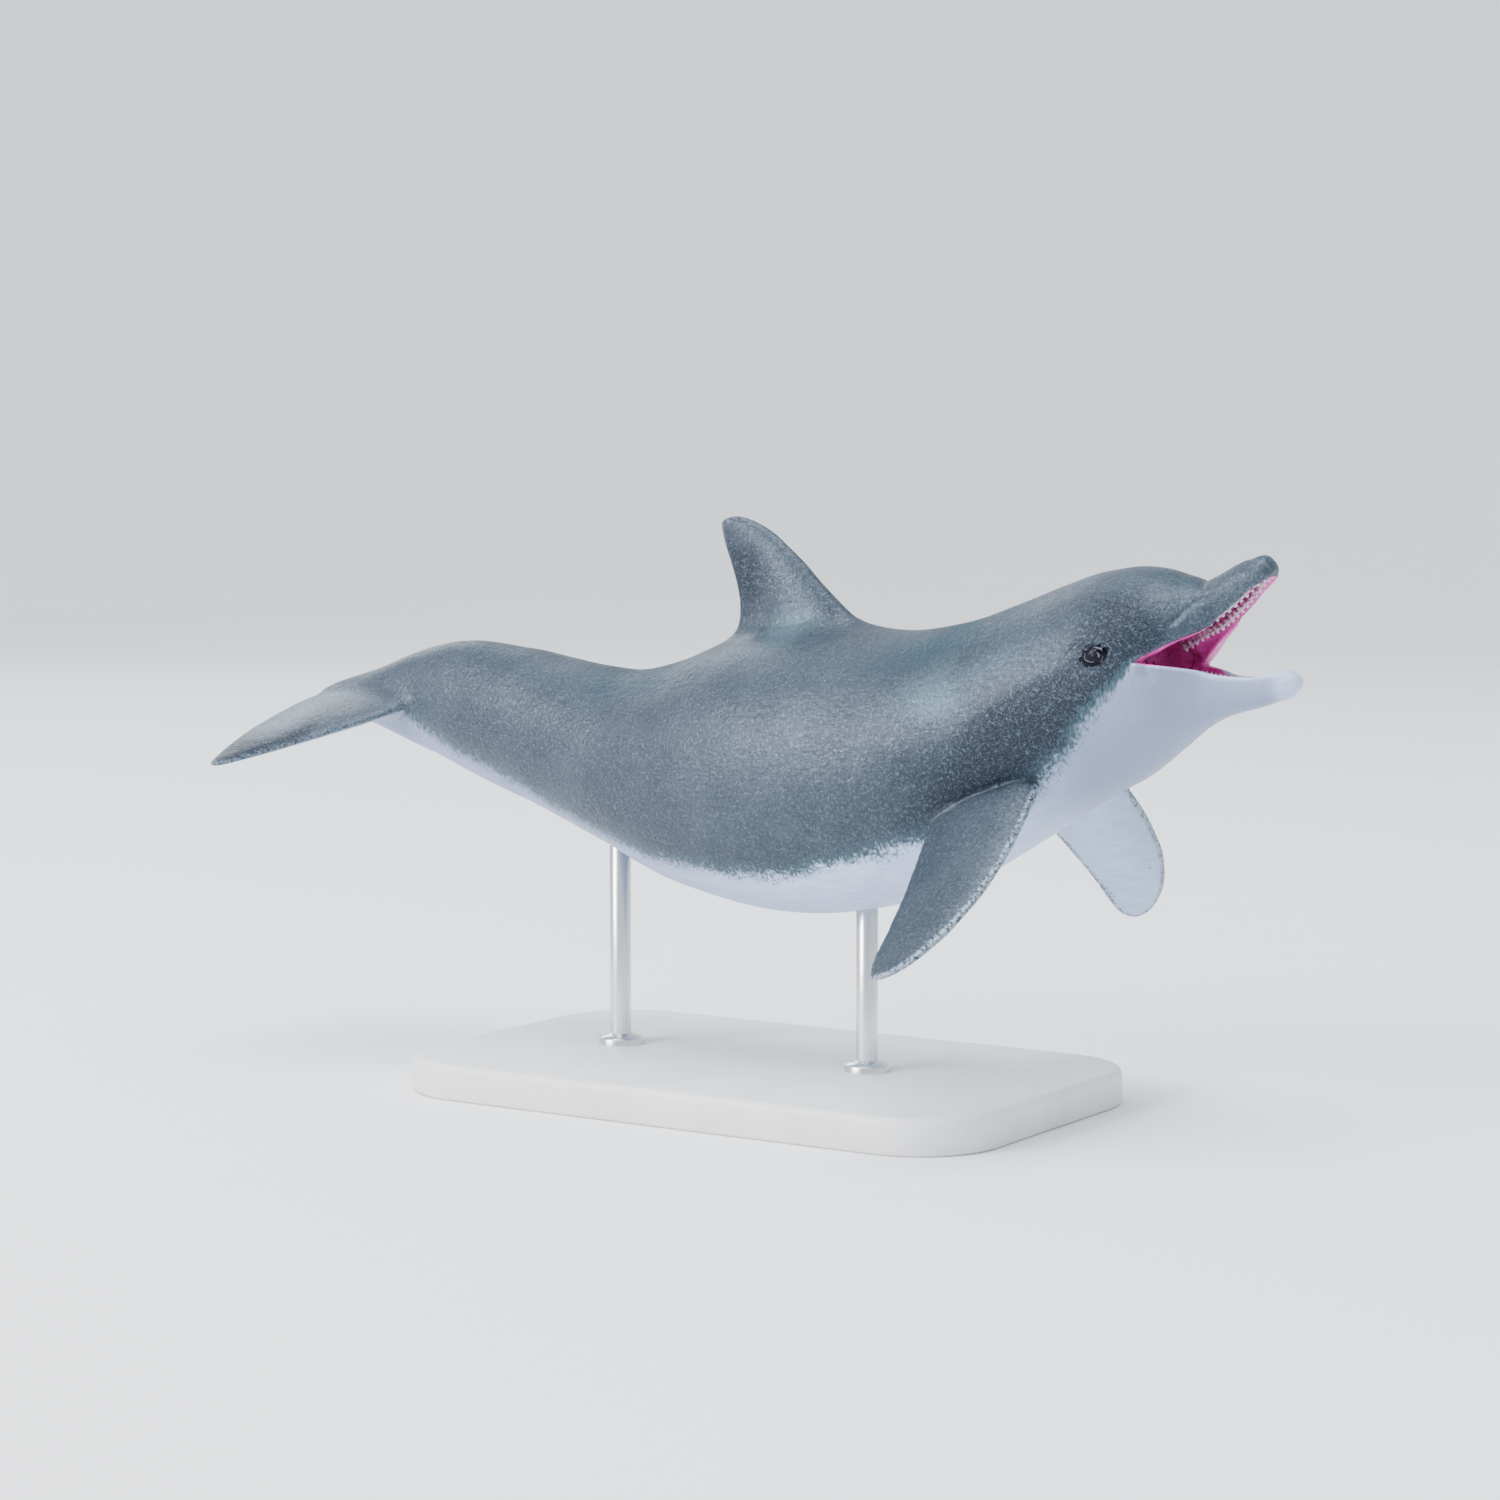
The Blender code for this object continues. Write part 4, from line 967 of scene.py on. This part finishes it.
def tooth_tree(name):
    """The tree that sets teeth along a line, with its sizes as inputs."""
    tree = Bench.tree = bpy.data.node_groups.new(name, "GeometryNodeTree")
    tree.interface.new_socket("Geometry", in_out="OUTPUT", socket_type="NodeSocketGeometry")
    for label, kind in TOOTH_INPUTS.items():
        tree.interface.new_socket(label, in_out="INPUT", socket_type=f"NodeSocket{kind}")
    given = add("NodeGroupInput").outputs
    curve = flow("GeometryNodeMeshToCurve", {"Mesh": given["Geometry"]})
    curve = flow("GeometryNodeResampleCurve", {"Curve": curve, "Length": given["Pitch"]}, mode="LENGTH")

    peg = add("GeometryNodeMeshCone", {"Vertices": 10, "Side Segments": 4, "Radius Top": 0.42,
                                       "Radius Bottom": 1.0, "Depth": 1.0}).outputs["Mesh"]
    peg = flow("GeometryNodeSubdivisionSurface", {"Mesh": peg, "Level": 1})
    peg = flow("GeometryNodeTransform", {"Geometry": peg, "Translation": (0.0, 0.0, -1.0)})
    place = flow("GeometryNodeInputPosition")
    depth = add("ShaderNodeSeparateXYZ", {0: place}).outputs[2]
    peg = flow("GeometryNodeStoreNamedAttribute", {"Geometry": peg, "Name": "below_tip", "Value": depth},
               data_type="FLOAT", domain="POINT")

    forward = add("GeometryNodeSplineParameter").outputs["Factor"]
    height = flow("ShaderNodeMix", {0: forward, 2: given["Back Height"], 3: given["Front Height"]})
    size = flow("ShaderNodeCombineXYZ", {0: given["Width"], 1: given["Width"], 2: height})
    lean = flow("FunctionNodeAlignRotationToVector", {"Vector": given["Lean"]}, axis="Z")
    wobble = flow("FunctionNodeRandomValue",
                  {0: (-0.13, -0.13, -0.5), 1: (0.13, 0.13, 0.5), "Seed": given["Seed"]},
                  data_type="FLOAT_VECTOR")
    wobble = flow("FunctionNodeRotateRotation", {"Rotation": lean, "Rotate By": wobble},
                  rotation_space="LOCAL")
    pegs = flow("GeometryNodeInstanceOnPoints",
                {"Points": curve, "Instance": peg, "Rotation": wobble, "Scale": size})
    vary = add("FunctionNodeRandomValue", {"Min": 0.86, "Max": 1.12, "Seed": given["Seed"]},
               data_type="FLOAT").outputs[1]
    pegs = flow("GeometryNodeScaleInstances", {"Instances": pegs, "Scale": vary})

    rail = flow("GeometryNodeCurvePrimitiveCircle", {"Resolution": 8, "Radius": RAIL * MM}, mode="RADIUS")
    rail = flow("GeometryNodeCurveToMesh", {"Curve": curve, "Profile Curve": rail, "Fill Caps": True})
    behind = flow("ShaderNodeVectorMath", {0: given["Lean"], "Scale": -RAIL_BACK * MM}, operation="SCALE")
    rail = flow("GeometryNodeTransform", {"Geometry": rail, "Translation": behind})
    both = add("GeometryNodeJoinGeometry")
    for part in (pegs, rail):
        tree.links.new(part, both.inputs[0])
    made = flow("GeometryNodeRealizeInstances", {"Geometry": both.outputs[0]})
    made = flow("GeometryNodeSetMaterial", {"Geometry": made, "Material": given["Finish"]})
    add("NodeGroupOutput", {"Geometry": made})
    return tree


# %% Set the teeth
tooth_finish, shader = finish("brushed_teeth", Roughness=0.38)
chalk = mask(uneven(number("below_tip"), grain(0.5, 3.0), 1.6), -0.75, -0.05)
plug(shader, Base_Color=coats((0.22, 0.03, 0.11), (chalk, (0.62, 0.56, 0.62))))
bumped(shader, (grain(0.25, 2.0), 0.03))


def set_teeth(name, row, upper):
    """The rows of teeth of both sides of a jaw, joined into one piece."""
    tree = tooth_tree(name)
    joined = bmesh.new()
    for row_number, side in enumerate((1.0, -1.0)):
        line, lean = tip_line(row, upper, side)
        mesh = bpy.data.meshes.new(f"{name}_{row_number}")
        mesh.from_pydata(to_frame(line).tolist(), [(i, i + 1) for i in range(len(line) - 1)], [])
        thread = new_object(mesh.name, mesh)
        modifier = thread.modifiers.new("teeth", "NODES")
        modifier.node_group = tree
        sizes = {"Pitch": TOOTH_PITCH * MM, "Back Height": BACK_TOOTH * MM, "Front Height": FRONT_TOOTH * MM,
                 "Width": TOOTH_WIDTH * MM, "Lean": lean.tolist(), "Seed": 7 + row_number,
                 "Finish": tooth_finish}
        for item in tree.interface.items_tree:
            if item.in_out == "INPUT" and item.name in sizes:
                modifier[item.identifier] = sizes[item.name]
        evaluated = thread.evaluated_get(bpy.context.evaluated_depsgraph_get())
        joined.from_mesh(bpy.data.meshes.new_from_object(evaluated))
        bpy.data.objects.remove(thread, do_unlink=True)
    mesh = to_mesh(name, joined)
    add_piece(mesh, tooth_finish, "jaw_paint")
    print(name, "points:", len(mesh.vertices))


set_teeth("upper_teeth", UPPER_ROW, True)
set_teeth("lower_teeth", LOWER_ROW, False)

# %% [markdown]
# ## Eyes
# An eye is a domed dab of gloss black over a moulded ring.  It is a ball of points pushed in and
# out: flattened towards the head, with two uneven raised rings that catch the light.  Painted
# glints, a lighter colour, lie along the rings.

# %% Make the eyes
eye_finish, shader = finish("gloss_black", Roughness=0.24, Specular_IOR_Level=0.12)
# Painted glints along the raised rings.
painted_glints = product(mask(number("ridge"), 0.45, 0.85), mask(grain(0.7, 2.0), 0.46, 0.58))
plug(shader, Base_Color=coats(
    (0.002, 0.002, 0.004), (mask(grain(0.8, 2.0), 0.4, 0.7), (0.010, 0.009, 0.016)),
    (painted_glints, (0.13, 0.14, 0.20))))
bumped(shader, (grain(0.9, 2.0), 0.05))
RIDGES = [(0.62, 0.06), (0.90, 0.05)]     # how far out a ring lies and its width, in half sizes
RIDGE_HEIGHT = 0.035             # mm


def make_eye(side):
    half = Vector(EYE_HALF)
    mesh_data = bmesh.new()
    bmesh.ops.create_uvsphere(mesh_data, u_segments=64, v_segments=40, radius=1.0)
    ridges = []
    for vertex in mesh_data.verts:
        spot = vertex.co.copy()
        far = math.hypot(spot.x, spot.z) + 0.12 * noise.noise(spot * 2.5)
        ridges.append(sum(math.exp(-((far - middle) / width)**2) for middle, width in RIDGES))
        lumps = 0.05 * noise.noise(spot * 3.0 + Vector((3.0, 1.0, 7.0)))
        wide, high = spot.x * half.x, spot.z * half.z
        vertex.co = Vector((wide * math.cos(EYE_TURN) - high * math.sin(EYE_TURN), spot.y * half.y,
                            wide * math.sin(EYE_TURN) + high * math.cos(EYE_TURN))) * (0.90 + lumps)
        vertex.co.y += RIDGE_HEIGHT * ridges[-1] * (1.0 if spot.y > 0 else -1.0)
        vertex.co = (vertex.co + eyes[side]) * MM
    bmesh.ops.recalc_face_normals(mesh_data, faces=mesh_data.faces)
    mesh = to_mesh(f"gloss_eye_{side}", mesh_data)
    mesh.attributes.new("ridge", "FLOAT", "POINT").data.foreach_set("value", ridges)
    add_piece(mesh, eye_finish, "eye_paint", f"eye_{side}")


for side in ("left", "right"):
    make_eye(side)
print("eyes made")

# %% [markdown]
# ## Stand
# The figure leaps, so it needs a stand: a rounded plate and two short rods.  The plate is built
# ring by ring with a softly rounded upper edge, and each rod rises from a small turned collar.

# %% Make the stand
plate_finish, shader = finish("moulded_plate", Roughness=0.5)
clouds = mask(grain(14.0, 3.0), 0.35, 0.7)
plug(shader, Base_Color=coats((0.70, 0.70, 0.70), (clouds, (0.76, 0.76, 0.76))))
bumped(shader, (grain(0.35, 2.0), 0.02))
rod_finish, shader = finish("drawn_steel", Metallic=1.0)
drawn = grain(0.5, 3.0, stretch=(1.0, 1.0, 0.03))
rough = flow("ShaderNodeMapRange", {"Value": grain(0.3, 3.0, stretch=(1.0, 1.0, 0.04)),
                                    "To Min": 0.18, "To Max": 0.34})
plug(shader, Base_Color=coats((0.55, 0.56, 0.58), (drawn, (0.74, 0.75, 0.76))), Roughness=rough)
bumped(shader, (grain(0.2, 2.0, stretch=(1.0, 1.0, 0.03)), 0.004))
CORNER, EDGE, FOOT = 12.0 * MM, 1.0 * MM, 0.4 * MM        # the plate's corners and its rounded edges


def stack(name, rings, material, solid, slot):
    """A closed piece from rings of points that rise from its underside to its top."""
    mesh_data = bmesh.new()
    loops = [[mesh_data.verts.new(p) for p in ring] for ring in rings]
    count = len(loops[0])
    for low, high in zip(loops[:-1], loops[1:]):
        for i in range(count):
            mesh_data.faces.new((low[i], low[(i + 1) % count], high[(i + 1) % count], high[i]))
    mesh_data.faces.new(loops[0][::-1])
    mesh_data.faces.new(loops[-1])
    bmesh.ops.recalc_face_normals(mesh_data, faces=mesh_data.faces)
    mesh = to_mesh(name, mesh_data)
    mesh.set_sharp_from_angle(angle=math.radians(50))
    add_piece(mesh, material, slot, solid)


def plate_ring(low, high, inset, z):
    """Rounded rectangle, drawn in by so much."""
    ring = []
    radius = CORNER - inset
    for quarter, (sx, sy) in enumerate(((1, 1), (-1, 1), (-1, -1), (1, -1))):
        x = (high.x if sx > 0 else low.x) - sx * CORNER
        y = (high.y if sy > 0 else low.y) - sy * CORNER
        for turn in np.linspace(0.0, math.pi / 2, 17) + quarter * math.pi / 2:
            ring.append((x + radius * math.cos(turn), y + radius * math.sin(turn), z))
    return ring


low, high = (Vector(v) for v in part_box("stand_base"))
levels = [(FOOT, low.z), (0.0, low.z + FOOT)]
levels += [(EDGE * (1 - math.cos(a)), high.z - EDGE * (1 - math.sin(a)))
           for a in np.linspace(0.0, math.pi / 2, 7)]
rings = [plate_ring(low, high, inset, z) for inset, z in levels]
stack("plate", rings, plate_finish, "stand_base", "stand_paint")
print("plate mm:", [round(v / MM, 1) for v in high - low])


def make_rod(name):
    """A rod with a turned collar where it enters the plate."""
    low, high = (Vector(v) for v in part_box(name))
    x, y = (low.x + high.x) / 2, (low.y + high.y) / 2
    radius = (high.x - low.x) / 2
    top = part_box("stand_base")[1][2]
    collar = [(1.0, -2.0), (2.1, -1.0), (2.1, 0.7), (2.0, 1.0), (1.25, 1.3), (1.0, 1.5)]
    profile = [(wide * radius, top + rise * MM) for wide, rise in collar]
    profile += [(radius, high.z - 0.4 * MM), (0.75 * radius, high.z)]
    turns = np.linspace(0.0, 2 * math.pi, 48, endpoint=False)
    rings = [[(x + r * math.cos(a), y + r * math.sin(a), z) for a in turns] for r, z in profile]
    stack(f"steel_{name}", rings, rod_finish, name, "rod_steel")


for name in ("stand_rod_front", "stand_rod_rear"):
    make_rod(name)

# %% [markdown]
# ## Studio
# A pale bowl is floor and backdrop in one, so no horizon shows from any side.  A large soft light
# to the tail side of the camera draws the broad sheen along the flank, one above lights the back,
# a weak one behind the tail rounds off the flukes, and the pale floor fills in the belly.

# %% Floor and light
def make_bowl():
    """A flat floor that curves up into a wall all round."""
    flat, sweep, wall = 1.1, 0.9, 1.2     # m
    turns = np.linspace(0.0, math.pi / 2, 25)
    profile = [(0.0, 0.0), (0.3, 0.0), (0.7, 0.0)]
    profile += [(flat + sweep * math.sin(a), sweep * (1 - math.cos(a))) for a in turns]
    profile += [(flat + sweep, sweep + wall)]
    mesh_data = bmesh.new()
    line = [mesh_data.verts.new((r, 0.0, z)) for r, z in profile]
    edges = [mesh_data.edges.new(pair) for pair in zip(line[:-1], line[1:])]
    bmesh.ops.spin(mesh_data, geom=line + edges, cent=(0, 0, 0), axis=(0, 0, 1), angle=2 * math.pi, steps=96,
                   use_merge=True)
    bmesh.ops.remove_doubles(mesh_data, verts=mesh_data.verts, dist=1e-5)
    bmesh.ops.recalc_face_normals(mesh_data, faces=mesh_data.faces)
    return new_object("studio_bowl", to_mesh("studio_bowl", mesh_data))


bowl = make_bowl()
pale, shader = finish("pale_paper", Roughness=0.9)
plug(shader, Base_Color=coats((0.86, 0.865, 0.875), (grain(60.0, 2.0), (0.88, 0.885, 0.895))))
bowl.data.materials.append(pale)
bowl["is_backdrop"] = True


def soft_light(name, azimuth, elevation, distance, size, watts, colour):
    """A square lamp that looks at the figure from a compass direction, as the camera is placed."""
    a, e = math.radians(azimuth), math.radians(elevation)
    away = Vector((math.sin(a) * math.cos(e), -math.cos(a) * math.cos(e), math.sin(e)))
    lamp = new_object(name, bpy.data.lights.new(name, "AREA"))
    lamp.data.shape, lamp.data.size, lamp.data.energy, lamp.data.color = "SQUARE", size, watts, colour
    lamp.location = Vector(origin) * MM + away * distance
    lamp.rotation_euler = (-away).to_track_quat("-Z", "Y").to_euler()


soft_light("flank_light", -30.0, 22.0, 0.95, 0.5, 13.5, (1.0, 0.99, 0.98))
soft_light("top_light", 10.0, 82.0, 1.2, 0.9, 22.0, (0.94, 0.97, 1.0))
soft_light("tail_light", -120.0, 30.0, 1.0, 0.4, 2.5, (0.94, 0.98, 1.0))
world = bpy.data.worlds.new("studio")
bpy.context.scene.world = world
world.use_nodes = True
world.node_tree.nodes["Background"].inputs["Color"].default_value = (0.86, 0.92, 1.0, 1.0)
world.node_tree.nodes["Background"].inputs["Strength"].default_value = 1.0

# %% [markdown]
# ## Size
# The dressed figure should be as big as its solids; here the box of what is shown is measured.

# %% Measure the box
low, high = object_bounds()
